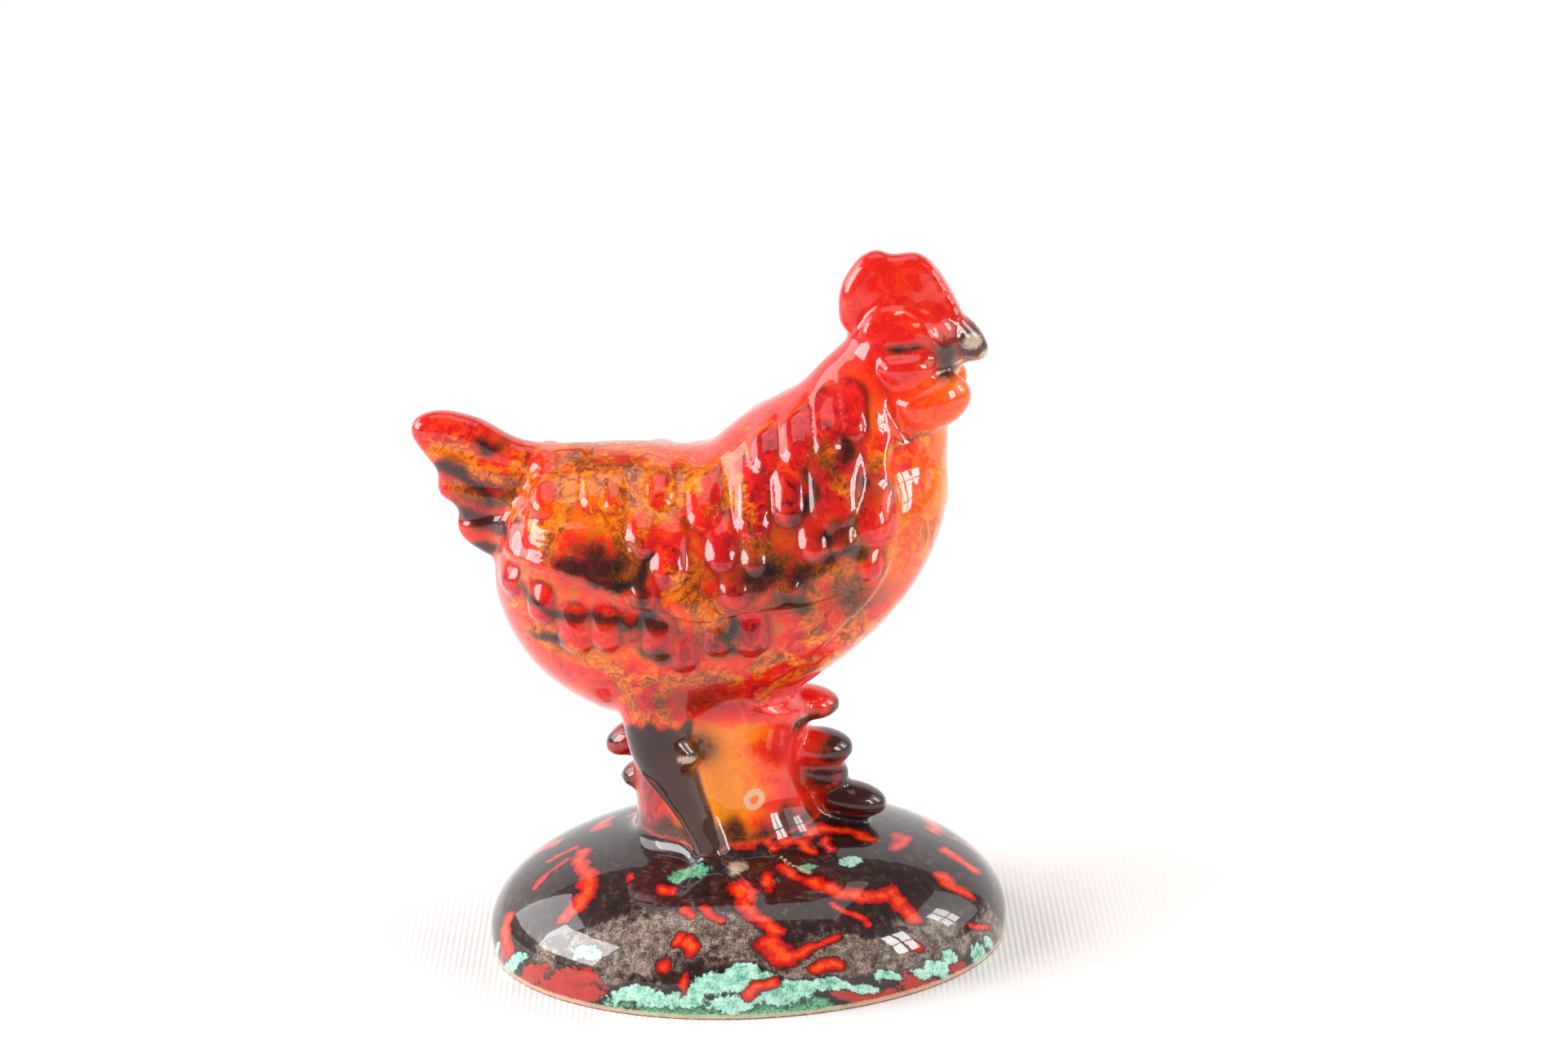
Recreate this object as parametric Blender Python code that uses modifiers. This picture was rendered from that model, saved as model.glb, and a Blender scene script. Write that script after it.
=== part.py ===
"""Hen figurine on a mound: one slip-cast, glazed earthenware piece, hollow, on a ground foot ring.

The hen faces +X, and the plane y = 0 is its middle. Sizes are in metres. The forms are laid out with
the centre of the mound's foot at x = 0, and the whole piece is then moved along X so that the origin
is under the middle of its bounding box.
"""

import math

import bmesh
import bpy
import numpy as np
from mathutils import Matrix

NODE = "hen_figurine"

# Mound
MOUND_LENGTH = 0.1110
MOUND_DEPTH = 0.0830
MOUND_HEIGHT = 0.0270
MOUND_SIDE_Z = 0.0035
MOUND_TUCK = 0.0008

# Torso, between the belly's lowest point and the back's line
BELLY_Z = 0.0500
BACK_Z = 0.1110
TORSO_LENGTH = 0.0955
TORSO_WIDTH = 0.0510
RUMP_X = -0.0500

# Neck and head
NECK_WIDTH = 0.0240
HEAD_X = 0.0370
HEAD_Z = 0.1270
HEAD_LENGTH = 0.0240
HEAD_HEIGHT = 0.0240
HEAD_WIDTH = 0.0190

# Comb, beak, face and wattles
COMB_LENGTH = 0.0250
COMB_HEIGHT = 0.0150
COMB_THICKNESS = 0.0066
BEAK_LENGTH = 0.0085
BEAK_DEPTH = 0.0106
BEAK_WIDTH = 0.0096
BROW_RADIUS = 0.0019
EAR_LENGTH = 0.0116
WATTLE_LENGTH = 0.0165
WATTLE_DROP = 0.0115
WATTLE_WIDTH = 0.0100

# Tail
TAIL_LENGTH = 0.0300
TAIL_HEIGHT = 0.0310
TAIL_THICKNESS = 0.0110
TAIL_EDGE = 0.0060

# Plinth between the legs, legs, toes and leaves
PLINTH_LENGTH = 0.0365
PLINTH_WIDTH = 0.0300
LEG_SPREAD = 0.0325
THIGH_RADIUS = 0.0072
SHANK_RADIUS = 0.0029
TOE_RADIUS = 0.0019
LEAF_WIDTH = 0.0116

# Relief of the plumage
FEATHER_WIDTH = 0.0060
FEATHER_LENGTH = 0.0105
FEATHER_RISE = 0.0015
WING_RISE = 0.0016
CHEST_STEP = 0.0010
GROOVE_WIDTH = 0.0010
GROOVE_DEPTH = 0.0006

# Casting
WALL = 0.0045
FOOT_RING = 0.0080
FOOT_RECESS = 0.0020
POUR_HOLE = 0.0150

# Mesh
CORE_VOXEL = 0.0010
SKIN_VOXEL = 0.0008
CAVITY_VOXEL = 0.0018
OUTER_TRIANGLES = 9400
CAVITY_TRIANGLES = 1500
RING_POINTS = 40
LOFT_STEPS = 6
CUT_MARGIN = 0.0060

GLAZE_COLOUR = (0.55, 0.06, 0.02, 1.0)
GLAZE_ROUGHNESS = 0.08


def clear_scene():
    for obj in list(bpy.data.objects):
        bpy.data.objects.remove(obj, do_unlink=True)


def collection(name):
    made = bpy.data.collections.new(name)
    bpy.context.scene.collection.children.link(made)
    return made


def new_object(name, mesh, holder):
    obj = bpy.data.objects.new(name, mesh)
    holder.objects.link(obj)
    return obj


def scratch_object(name, mesh):
    return new_object(name, mesh, bpy.context.scene.collection)


def mesh_of(name, build):
    """A mesh filled by build(bm), with its faces turned outwards."""
    bm = bmesh.new()
    build(bm)
    bmesh.ops.recalc_face_normals(bm, faces=bm.faces)
    mesh = bpy.data.meshes.new(name)
    bm.to_mesh(mesh)
    bm.free()
    return mesh


def baked(obj):
    """The object's evaluated mesh, welded and in world space. The object is removed."""
    graph = bpy.context.evaluated_depsgraph_get()
    mesh = bpy.data.meshes.new_from_object(obj.evaluated_get(graph))
    mesh.transform(obj.matrix_world)
    bm = bmesh.new()
    bm.from_mesh(mesh)
    bmesh.ops.remove_doubles(bm, verts=bm.verts, dist=1e-6)
    bm.to_mesh(mesh)
    bm.free()
    bpy.data.objects.remove(obj, do_unlink=True)
    return mesh


def smooth_rows(rows, steps):
    """Rows of numbers on a smooth curve through the given rows, with steps rows to each span."""
    rows = np.array(rows, float)
    padded = np.vstack([2 * rows[0] - rows[1], rows, 2 * rows[-1] - rows[-2]])
    made = []
    for p0, p1, p2, p3 in zip(padded, padded[1:], padded[2:], padded[3:]):
        for t in np.arange(steps) / steps:
            cubic = (3 * p1 - p0 - 3 * p2 + p3) * t**3
            square = (2 * p0 - 5 * p1 + 4 * p2 - p3) * t**2
            made.append(0.5 * (2 * p1 + (p2 - p0) * t + square + cubic))
    return np.array(made + [rows[-1]])


def smoothstep(low, high, values):
    t = np.clip((values - low) / (high - low), 0.0, 1.0)
    return t * t * (3 - 2 * t)


def loft(name, stations, upright=False, inset=0.0):
    """A closed form through oval sections in the hen's middle plane.

    A station is (x, z, half height, half width). Sections stand square to the line through their
    centres, or upright across +X. An inset takes that much off each half height and half width.
    """
    rows = smooth_rows(stations, LOFT_STEPS)
    slopes = np.gradient(rows[:, :2], axis=0)
    turns = np.linspace(0, 2 * math.pi, RING_POINTS, endpoint=False)
    least = 0.0004

    def build(bm):
        rings = []
        for (x, z, high, wide), slope in zip(rows, slopes):
            dx, dz = (1.0, 0.0) if upright else slope / np.linalg.norm(slope)
            high = max(high - inset, least)
            wide = max(wide - inset, least)
            ring = []
            for turn in turns:
                up = high * math.cos(turn)
                ring.append(bm.verts.new((x - dz * up, wide * math.sin(turn), z + dx * up)))
            rings.append(ring)
        for near, far in zip(rings, rings[1:]):
            for i in range(RING_POINTS):
                j = (i + 1) % RING_POINTS
                bm.faces.new((near[i], near[j], far[j], far[i]))
        bm.faces.new(rings[0])
        bm.faces.new(rings[-1])

    return mesh_of(name, build)


def ellipsoid(name, centre, radii, pitch=0.0, yaw=0.0):
    """A ball scaled to three radii, tilted by pitch in the middle plane and turned by yaw."""
    turn = Matrix.Rotation(yaw, 4, "Z") @ Matrix.Rotation(-pitch, 4, "Y")
    place = Matrix.Translation(centre) @ turn @ Matrix.Diagonal((*radii, 1.0))

    def build(bm):
        bmesh.ops.create_uvsphere(bm, u_segments=32, v_segments=20, radius=1.0, matrix=place)

    return mesh_of(name, build)


def tube(name, points, radii):
    """A round bar through the points, with its own radius at each."""
    curve = bpy.data.curves.new(name, "CURVE")
    curve.dimensions = "3D"
    curve.bevel_depth = 1.0
    curve.bevel_resolution = 5
    curve.resolution_u = 8
    curve.use_fill_caps = True
    spline = curve.splines.new("BEZIER")
    spline.bezier_points.add(len(points) - 1)
    for knot, point, radius in zip(spline.bezier_points, points, radii):
        knot.co = point
        knot.radius = radius
        knot.handle_left_type = knot.handle_right_type = "AUTO"
    return baked(scratch_object(name, curve))


def blade(name, outline, half_thickness, edge):
    """A flat outline in the middle plane, extruded to both sides, with its edge rounded."""
    curve = bpy.data.curves.new(name, "CURVE")
    curve.dimensions = "2D"
    curve.fill_mode = "BOTH"
    curve.extrude = half_thickness - edge
    curve.bevel_depth = edge
    curve.offset = -edge
    curve.bevel_resolution = 4
    curve.resolution_u = 6
    spline = curve.splines.new("BEZIER")
    spline.use_cyclic_u = True
    spline.bezier_points.add(len(outline) - 1)
    for knot, (x, z) in zip(spline.bezier_points, outline):
        knot.co = (x, z, 0)
        knot.handle_left_type = knot.handle_right_type = "AUTO"
    obj = scratch_object(name, curve)
    obj.rotation_euler = (math.pi / 2, 0, 0)
    bpy.context.view_layer.update()
    return baked(obj)


def fused(name, meshes, voxel, passes):
    """One closed skin round all the meshes, with the joins between them smoothed."""
    bm = bmesh.new()
    for mesh in meshes:
        bm.from_mesh(mesh)
        bpy.data.meshes.remove(mesh)
    mesh = bpy.data.meshes.new(name)
    bm.to_mesh(mesh)
    bm.free()
    obj = scratch_object(name, mesh)
    remesh = obj.modifiers.new("Skin", "REMESH")
    remesh.mode = "VOXEL"
    remesh.voxel_size = voxel
    smooth = obj.modifiers.new("Soften", "SMOOTH")
    smooth.factor = 0.5
    smooth.iterations = passes
    return baked(obj)


# Roundness of the mound's section: the crown is flatter than an ellipse's, and the sides are steeper
MOUND_CROWN = 2.45
MOUND_SIDES = 2.10


def mound_surface_z(x, y):
    """The height of the mound's top above the foot at (x, y)."""
    out = math.hypot(x / (MOUND_LENGTH / 2), y / (MOUND_DEPTH / 2))
    angle = math.asin(min(out, 1.0) ** (MOUND_CROWN / 2))
    return MOUND_SIDE_Z + (MOUND_HEIGHT - MOUND_SIDE_Z) * math.cos(angle) ** (2 / MOUND_SIDES)


def mound(inset=0.0, floor_z=-CUT_MARGIN):
    """The oval mound down to floor_z, from a turned profile scaled to its depth."""
    half = MOUND_LENGTH / 2 - inset
    rise = MOUND_HEIGHT - inset - MOUND_SIDE_Z
    arc_points = 14
    profile = [(0.0, MOUND_HEIGHT - inset)]
    for k in range(1, arc_points + 1):
        angle = math.pi / 2 * k / arc_points
        out = half * math.sin(angle) ** (2 / MOUND_CROWN)
        up = MOUND_SIDE_Z + rise * max(math.cos(angle), 0.0) ** (2 / MOUND_SIDES)
        profile.append((out, max(up, floor_z)))
    if floor_z < 0:
        profile += [(half - MOUND_TUCK, 0.0), (half - MOUND_TUCK, floor_z)]
    profile.append((0.0, floor_z))

    def build(bm):
        verts = [bm.verts.new((x, 0, z)) for x, z in profile]
        for a, b in zip(verts, verts[1:]):
            bm.edges.new((a, b))

    obj = scratch_object("mound", mesh_of("mound", build))
    screw = obj.modifiers.new("Turn", "SCREW")
    screw.steps = screw.render_steps = 72
    screw.use_merge_vertices = True
    screw.merge_threshold = 0.0001
    obj.scale.y = (MOUND_DEPTH / 2 - inset) / half
    bpy.context.view_layer.update()
    return baked(obj)


def torso(inset=0.0):
    """The body from rump to breast, as upright ovals between the belly's and the back's heights."""
    tall = BACK_Z - BELLY_Z
    half = TORSO_WIDTH / 2
    # (share of the length, top and bottom as shares of the height, share of the half width)
    shape = (
        (0.010, 0.64, 0.48, 0.22),
        (0.045, 0.80, 0.34, 0.50),
        (0.110, 0.94, 0.20, 0.74),
        (0.220, 1.00, 0.08, 0.90),
        (0.340, 1.00, 0.02, 0.98),
        (0.470, 0.98, 0.01, 1.00),
        (0.600, 1.00, 0.08, 1.00),
        (0.730, 1.03, 0.20, 0.95),
        (0.830, 1.03, 0.33, 0.86),
        (0.910, 1.02, 0.47, 0.70),
        (0.965, 0.99, 0.62, 0.48),
        (0.995, 0.91, 0.76, 0.20),
    )
    stations = []
    for along, top, bottom, wide in shape:
        x = RUMP_X + TORSO_LENGTH * along
        middle = BELLY_Z + tall * (top + bottom) / 2
        stations.append((x, middle, tall * (top - bottom) / 2, half * wide))
    return loft("torso", stations, upright=True, inset=inset)


def neck(inset=0.0):
    """The neck and skull: from inside the shoulders, leaning forward, to the crown."""
    shoulder_x = RUMP_X + TORSO_LENGTH * 0.63
    shoulder_z = BACK_Z - 0.024
    half_body = TORSO_WIDTH / 2
    half_neck = NECK_WIDTH / 2
    half_head = HEAD_WIDTH / 2
    run = HEAD_LENGTH / 2
    rise = HEAD_HEIGHT / 2
    up = HEAD_Z - shoulder_z
    ahead = HEAD_X - shoulder_x
    stations = (
        (shoulder_x, shoulder_z, 0.0270, half_body * 0.90),
        (shoulder_x + ahead * 0.41, shoulder_z + up * 0.35, 0.0235, half_body * 0.84),
        (shoulder_x + ahead * 0.67, shoulder_z + up * 0.60, 0.0185, half_neck * 1.38),
        (shoulder_x + ahead * 0.82, shoulder_z + up * 0.80, 0.0150, half_neck * 1.00),
        (HEAD_X - 0.001, HEAD_Z - 0.001, run * 1.02, half_head * 1.08),
        (HEAD_X + 0.001, HEAD_Z + rise * 0.40, run * 0.98, half_head),
        (HEAD_X + 0.002, HEAD_Z + rise * 0.75, run * 0.78, half_head * 0.80),
        (HEAD_X + 0.002, HEAD_Z + rise, run * 0.30, half_head * 0.35),
    )
    return loft("neck", stations, inset=inset)


def plinth(inset=0.0):
    """The waisted column between the legs that carries the body on the mound."""
    long = PLINTH_LENGTH / 2
    wide = PLINTH_WIDTH / 2
    rise = BELLY_Z - MOUND_HEIGHT
    stations = (
        (-0.002, MOUND_HEIGHT - 0.010, long * 1.50, wide * 1.45),
        (-0.004, MOUND_HEIGHT + rise * 0.05, long * 1.07, wide * 1.15),
        (-0.005, MOUND_HEIGHT + rise * 0.50, long * 0.97, wide),
        (-0.004, MOUND_HEIGHT + rise * 1.00, long * 0.99, wide * 1.10),
        (-0.001, BELLY_Z + 0.010, long * 0.97, wide * 1.30),
    )
    return loft("plinth", stations, inset=inset)


def foot_place(side):
    """Where a leg meets the mound: x, y and the mound's height there."""
    x = -0.0066
    y = side * LEG_SPREAD * 0.56
    return x, y, mound_surface_z(x, y)


def legs():
    """A thigh and shank on each side, from the belly down to the mound."""
    made = []
    rise = BELLY_Z - MOUND_HEIGHT
    for side in (-1, 1):
        y = side * LEG_SPREAD / 2
        foot_x, foot_y, foot_z = foot_place(side)
        points = (
            (-0.0160, y * 0.80, BELLY_Z + 0.016),
            (-0.0168, y * 0.95, BELLY_Z + 0.006),
            (-0.0160, y, BELLY_Z - rise * 0.05),
            (-0.0135, y * 1.02, BELLY_Z - rise * 0.32),
            (-0.0100, y * 1.06, BELLY_Z - rise * 0.68),
            (foot_x, foot_y, foot_z + 0.001),
            (foot_x + 0.0015, foot_y, foot_z - 0.004),
        )
        radii = (
            THIGH_RADIUS * 1.25,
            THIGH_RADIUS,
            THIGH_RADIUS * 0.88,
            SHANK_RADIUS * 1.60,
            SHANK_RADIUS * 1.10,
            SHANK_RADIUS * 0.95,
            SHANK_RADIUS * 0.95,
        )
        made.append(tube("leg", points, radii))
        made.append(hock(side))
    return made


def hock(side):
    """The worn knob on the outside of each thigh."""
    centre = (-0.0130, side * (LEG_SPREAD / 2 + THIGH_RADIUS * 0.40), BELLY_Z + 0.0005)
    return ellipsoid("hock", centre, (THIGH_RADIUS * 0.80, 0.0035, 0.0030), pitch=-0.35)


def toes():
    """Three low toes from each foot, lying half sunk on the mound."""
    made = []
    for side in (-1, 1):
        foot_x, foot_y, _ = foot_place(side)
        # (forward, outward) of each toe's middle and tip
        reaches = (
            ((0.0090, -0.0020), (0.0200, 0.0005)),
            ((0.0050, 0.0040), (0.0095, 0.0100)),
            ((-0.0030, 0.0030), (-0.0070, 0.0075)),
        )
        for reach in reaches:
            places = [(foot_x, foot_y)]
            places += [(foot_x + ahead, foot_y + side * out) for ahead, out in reach]
            points = [(x, y, mound_surface_z(x, y) - 0.0004) for x, y in places]
            radii = (TOE_RADIUS * 1.25, TOE_RADIUS, TOE_RADIUS * 0.55)
            made.append(tube("toe", points, radii))
    return made


def comb():
    """The blade on the crown, tall at the back and running down to the beak."""
    x0 = HEAD_X - 0.0125
    z0 = HEAD_Z + HEAD_HEIGHT * 0.33
    outline = (
        (0.02, -0.10),
        (-0.03, 0.30),
        (0.06, 0.72),
        (0.27, 1.00),
        (0.42, 0.93),
        (0.62, 0.94),
        (0.76, 0.76),
        (0.87, 0.47),
        (0.97, 0.08),
        (0.98, -0.35),
        (0.50, -0.30),
    )
    points = [(x0 + COMB_LENGTH * u, z0 + COMB_HEIGHT * v) for u, v in outline]
    made = [blade("comb", points, COMB_THICKNESS / 2, COMB_THICKNESS * 0.46)]
    # The comb swells between its rounded edges
    swell = (x0 + COMB_LENGTH * 0.44, 0, z0 + COMB_HEIGHT * 0.40)
    made.append(ellipsoid("comb_swell", swell, (COMB_LENGTH * 0.42, COMB_THICKNESS * 0.66, COMB_HEIGHT * 0.50)))
    # Small points down both sides of the comb's front edge
    point_count = 5
    for k in range(point_count):
        share = k / (point_count - 1)
        x = x0 + COMB_LENGTH * (0.70 + 0.21 * share)
        z = z0 + COMB_HEIGHT * (0.72 - 0.62 * share**1.1)
        for side in (-1, 1):
            point = (x, side * COMB_THICKNESS * 0.36, z)
            made.append(ellipsoid("comb_point", point, (0.0017, 0.0017, 0.0014)))
    return made


def beak():
    """The short blunt beak, from inside the skull to its tip."""
    x = HEAD_X + HEAD_LENGTH / 2 - 0.0040
    z = HEAD_Z + 0.0030
    deep = BEAK_DEPTH / 2
    wide = BEAK_WIDTH / 2
    stations = (
        (x - 0.0030, z + 0.0014, deep * 1.15, wide * 1.20),
        (x + BEAK_LENGTH * 0.20, z + 0.0010, deep * 1.02, wide * 1.05),
        (x + BEAK_LENGTH * 0.55, z - 0.0004, deep * 0.80, wide * 0.84),
        (x + BEAK_LENGTH * 0.85, z - 0.0020, deep * 0.50, wide * 0.54),
        (x + BEAK_LENGTH * 1.02, z - 0.0028, deep * 0.24, wide * 0.26),
    )
    return loft("beak", stations)


def face():
    """The brows, the ear lobes behind the beak and the wattles below it."""
    made = []
    for side in (-1, 1):
        # (x, half width, z) along the brow, from behind the eye round to the beak
        arch = (
            (-0.0084, 0.0052, 0.0045),
            (-0.0072, 0.0050, 0.0080),
            (-0.0046, 0.0046, 0.0100),
            (-0.0010, 0.0052, 0.0102),
            (0.0020, 0.0066, 0.0089),
            (0.0041, 0.0076, 0.0066),
            (0.0060, 0.0078, 0.0040),
        )
        points = [(HEAD_X + x, side * y, HEAD_Z + z) for x, y, z in arch]
        shares = (0.55, 0.85, 1.0, 1.0, 1.0, 0.9, 0.5)
        made.append(tube("brow", points, [BROW_RADIUS * share for share in shares]))
        ear = (HEAD_X + 0.0002, side * HEAD_WIDTH * 0.49, HEAD_Z + 0.0003)
        made.append(ellipsoid("ear", ear, (EAR_LENGTH / 2, 0.0026, 0.0030), pitch=-0.05, yaw=-side * 0.20))
        wattle = (HEAD_X + 0.0051, side * WATTLE_WIDTH * 0.82, HEAD_Z - WATTLE_DROP * 0.61)
        radii = (WATTLE_LENGTH / 2, WATTLE_WIDTH / 2, WATTLE_DROP / 2)
        made.append(ellipsoid("wattle", wattle, radii, pitch=0.22, yaw=-side * 0.30))
    return made


def tail():
    """The upright fan of the tail, thinner towards its back edge, which the feather tips scallop."""
    outline = (
        (0.45, 0.62),
        (-0.25, 0.78),
        (-0.60, 0.97),
        (-0.92, 0.99),
        (-1.00, 0.90),
        (-0.93, 0.74),
        (-0.84, 0.60),
        (-0.84, 0.46),
        (-0.72, 0.34),
        (-0.72, 0.18),
        (-0.58, 0.04),
        (-0.40, -0.05),
        (-0.10, -0.16),
        (0.45, -0.22),
    )
    points = [tail_place(u, v) for u, v in outline]
    mesh = blade("tail", points, TAIL_THICKNESS / 2, TAIL_THICKNESS * 0.38)
    root_x, tip_x = tail_place(0.0, 0.0)[0], tail_place(-1.0, 0.0)[0]
    for vertex in mesh.vertices:
        out = (root_x - vertex.co.x) / (root_x - tip_x)
        vertex.co.y *= 1 + min(max(out, 0.0), 1.0) * (TAIL_EDGE / TAIL_THICKNESS - 1)
    return mesh


def leaves():
    """Drooping lobes of foliage in front of the plinth and behind it."""
    front = PLINTH_LENGTH / 2 - 0.0020
    back = -PLINTH_LENGTH / 2 - 0.0060
    gap = BELLY_Z - MOUND_HEIGHT
    # (x, height, half length, half height, share of the width, lift of the front end as an angle)
    lobes = (
        (front - 0.0022, BELLY_Z + gap * 0.13, 0.0074, 0.0036, 1.00, -0.10),
        (front, BELLY_Z - gap * 0.31, 0.0077, 0.0040, 1.00, -0.10),
        (front + 0.0006, BELLY_Z - gap * 0.55, 0.0060, 0.0040, 0.90, -0.25),
        (front + 0.0064, BELLY_Z - gap * 0.84, 0.0082, 0.0038, 0.92, -0.22),
        (back + 0.0020, BELLY_Z - gap * 0.13, 0.0068, 0.0036, 0.80, 0.42),
        (back + 0.0035, BELLY_Z - gap * 0.50, 0.0050, 0.0030, 0.75, 0.20),
    )
    made = []
    for x, z, long, high, share, lift in lobes:
        made.append(ellipsoid("leaf", (x, 0, z), (long, LEAF_WIDTH / 2 * share, high), pitch=lift))
    return made


# Feather drops, row by row down the side. Each has the centre of its round tip, as shares of the torso's
# length from the rump and of its height from the belly, and shares of the feather's width and length.
NECK_ROW = ((0.60, 1.00, 1.0, 0.8), (0.67, 1.03, 1.1, 0.8), (0.735, 1.05, 1.1, 0.8), (0.79, 1.10, 1.0, 0.7))
BACK_ROW = ((0.13, 0.875, 1.1, 0.9), (0.236, 0.895, 0.75, 0.4), (0.282, 0.89, 0.8, 0.4), (0.38, 0.90, 1.0, 0.6))
SHOULDER_ROW = ((0.47, 0.845, 1.2, 0.9), (0.57, 0.82, 1.25, 1.1), (0.65, 0.86, 1.1, 1.1), (0.75, 0.85, 1.9, 1.1))
COVERT_ROW = ((0.345, 0.78, 1.2, 0.4), (0.395, 0.69, 1.2, 0.9), (0.505, 0.72, 1.0, 0.6), (0.574, 0.70, 0.8, 0.4))
BREAST_ROW = ((0.70, 0.745, 1.0, 0.5), (0.763, 0.75, 1.05, 0.5), (0.825, 0.80, 1.4, 0.5), (0.815, 0.65, 0.9, 0.3))
EDGE_ROW = ((0.34, 0.60, 0.9, 0.2), (0.53, 0.60, 1.0, 0.2), (0.64, 0.605, 0.9, 0.2), (0.047, 0.60, 0.8, 0.3))
FLANK_ROW = ((0.117, 0.53, 0.9, 0.4), (0.19, 0.44, 1.2, 0.5), (0.255, 0.455, 1.1, 0.4), (0.307, 0.475, 0.7, 0.3))
THIGH_ROW = ((0.365, 0.43, 1.15, 0.5), (0.415, 0.37, 0.9, 0.4), (0.49, 0.43, 1.0, 0.5), (0.56, 0.43, 1.15, 0.5))
FEATHERS = (
    *NECK_ROW,
    *BACK_ROW,
    *SHOULDER_ROW,
    *COVERT_ROW,
    *BREAST_ROW,
    *EDGE_ROW,
    *FLANK_ROW,
    *THIGH_ROW,
)
# The wing's lower edge, from its tip at the rump, and the border between plumage and plain chest
WING_EDGE = (
    (0.02, 0.70),
    (0.10, 0.675),
    (0.20, 0.64),
    (0.30, 0.575),
    (0.38, 0.535),
    (0.46, 0.51),
    (0.57, 0.54),
    (0.66, 0.55),
    (0.75, 0.58),
    (0.84, 0.645),
)
CHEST_EDGE = ((0.67, 0.30), (0.74, 0.42), (0.82, 0.54), (0.865, 0.68), (0.88, 0.85), (0.865, 0.98), (0.88, 1.11))
# Grooves in the same shares: between the wing's quills, and at the root of the tail
WING_GROOVES = (((0.09, 0.735), (0.34, 0.695)), ((0.10, 0.775), (0.33, 0.745)), ((0.13, 0.82), (0.23, 0.83)))
TAIL_ROOT = ((0.115, 1.02), (0.09, 0.86), (0.085, 0.70))
# Tail grooves, from the root to the edge, as shares of the tail's length and height
TAIL_GROOVES = (((-0.22, 0.62), (-0.96, 0.84)), ((-0.20, 0.50), (-0.88, 0.53)), ((-0.18, 0.38), (-0.76, 0.26)))
# Creases and a fold of the face, in shares of the head's length and height from its centre
EYE_SOCKET = ((-0.20, 0.18), (-0.02, 0.17), (0.16, 0.20))
EAR_CREASE = ((-0.27, 0.12), (-0.26, -0.04), (-0.10, -0.16), (0.10, -0.14), (0.32, -0.06))
WATTLE_CREASE = ((-0.16, -0.16), (-0.14, -0.30), (-0.09, -0.44), (0.00, -0.56))
HACKLE_FOLD = ((-0.40, -0.10), (-0.32, -0.30), (-0.28, -0.50))
MOUTH = ((0.40, 0.02), (0.52, 0.00), (0.64, -0.06))


def torso_place(u, v):
    """The (x, z) of shares of the torso's length and height."""
    return RUMP_X + TORSO_LENGTH * u, BELLY_Z + (BACK_Z - BELLY_Z) * v


def tail_place(u, v):
    """The (x, z) of shares of the tail's length and height, from its root in the rump."""
    return RUMP_X + 0.0155 + TAIL_LENGTH * u, BACK_Z - 0.0225 + TAIL_HEIGHT * v


def head_place(u, v):
    """The (x, z) of shares of the head's length and height, from its centre."""
    return HEAD_X + HEAD_LENGTH * u, HEAD_Z + HEAD_HEIGHT * v


def feathers(x, z):
    """Rise of the feather drops: each is round at its tip and fades towards its root."""
    rise = np.zeros_like(x)
    for u, v, wide, long in FEATHERS:
        tip_x, tip_z = torso_place(u, v)
        radius = FEATHER_WIDTH * wide / 2
        up = z - tip_z
        away = np.hypot(x - tip_x, np.minimum(up, 0.0)) / radius
        dome = np.clip(1 - away**2, 0.0, 1.0) ** 0.75
        fade = 1 - smoothstep(0.0, radius + FEATHER_LENGTH * long, up)
        rise = np.maximum(rise, dome * fade * min(wide, 1.3))
    return rise * FEATHER_RISE


def line_pull(x, z, points, width):
    """Nearness to a line through the points: 1 on it, falling off to both sides and at its ends."""
    line = smooth_rows(points, 24)
    steps = np.linspace(0, 1, len(line))
    ends = smoothstep(0.0, 0.15, steps) * (1 - smoothstep(0.85, 1.0, steps))
    pull = np.zeros_like(x)
    for (px, pz), end in zip(line, ends):
        near = np.exp(-((x - px) ** 2 + (z - pz) ** 2) / width**2)
        pull = np.maximum(pull, near * (0.35 + 0.65 * end))
    return pull


def wing(x, z):
    """Rise of the wing above its lower edge, with the grooves between its quills."""
    edge = smooth_rows([torso_place(u, v) for u, v in WING_EDGE], 6)
    above = z - np.interp(x, edge[:, 0], edge[:, 1])
    tip, front = edge[0, 0], edge[-1, 0]
    along = smoothstep(tip - 0.002, tip + 0.004, x) * (1 - smoothstep(front - 0.012, front, x))
    pad = smoothstep(-0.0008, 0.0010, above) * (1 - smoothstep(0.005, 0.022, above))
    rise = WING_RISE * pad * along
    for ends in WING_GROOVES:
        rise -= GROOVE_DEPTH * line_pull(x, z, [torso_place(u, v) for u, v in ends], GROOVE_WIDTH)
    return rise


def chest(x, z):
    """The step down from the plumage to the plain chest."""
    edge = smooth_rows([torso_place(u, v) for u, v in CHEST_EDGE], 6)
    past = x - np.interp(z, edge[:, 1], edge[:, 0])
    low, high = edge[0, 1], edge[-1, 1]
    along = smoothstep(low, low + 0.010, z) * (1 - smoothstep(high - 0.008, high, z))
    return -CHEST_STEP * smoothstep(-0.0008, 0.0012, past) * (1 - smoothstep(0.004, 0.012, past)) * along


def tail_relief(x, z):
    rise = -GROOVE_DEPTH * 1.4 * line_pull(x, z, [torso_place(u, v) for u, v in TAIL_ROOT], GROOVE_WIDTH * 1.8)
    for ends in TAIL_GROOVES:
        rise -= GROOVE_DEPTH * line_pull(x, z, [tail_place(u, v) for u, v in ends], GROOVE_WIDTH)
    return rise


def head_relief(x, z):
    rise = 0.0006 * line_pull(x, z, [head_place(u, v) for u, v in HACKLE_FOLD], 0.0014)
    for points, depth, width in (
        (EYE_SOCKET, 0.0008, 0.0014),
        (EAR_CREASE, 0.0006, 0.0009),
        (WATTLE_CREASE, 0.0007, 0.0012),
        (MOUTH, 0.0005, 0.0006),
    ):
        rise -= depth * line_pull(x, z, [head_place(u, v) for u, v in points], width)
    return rise


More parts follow.
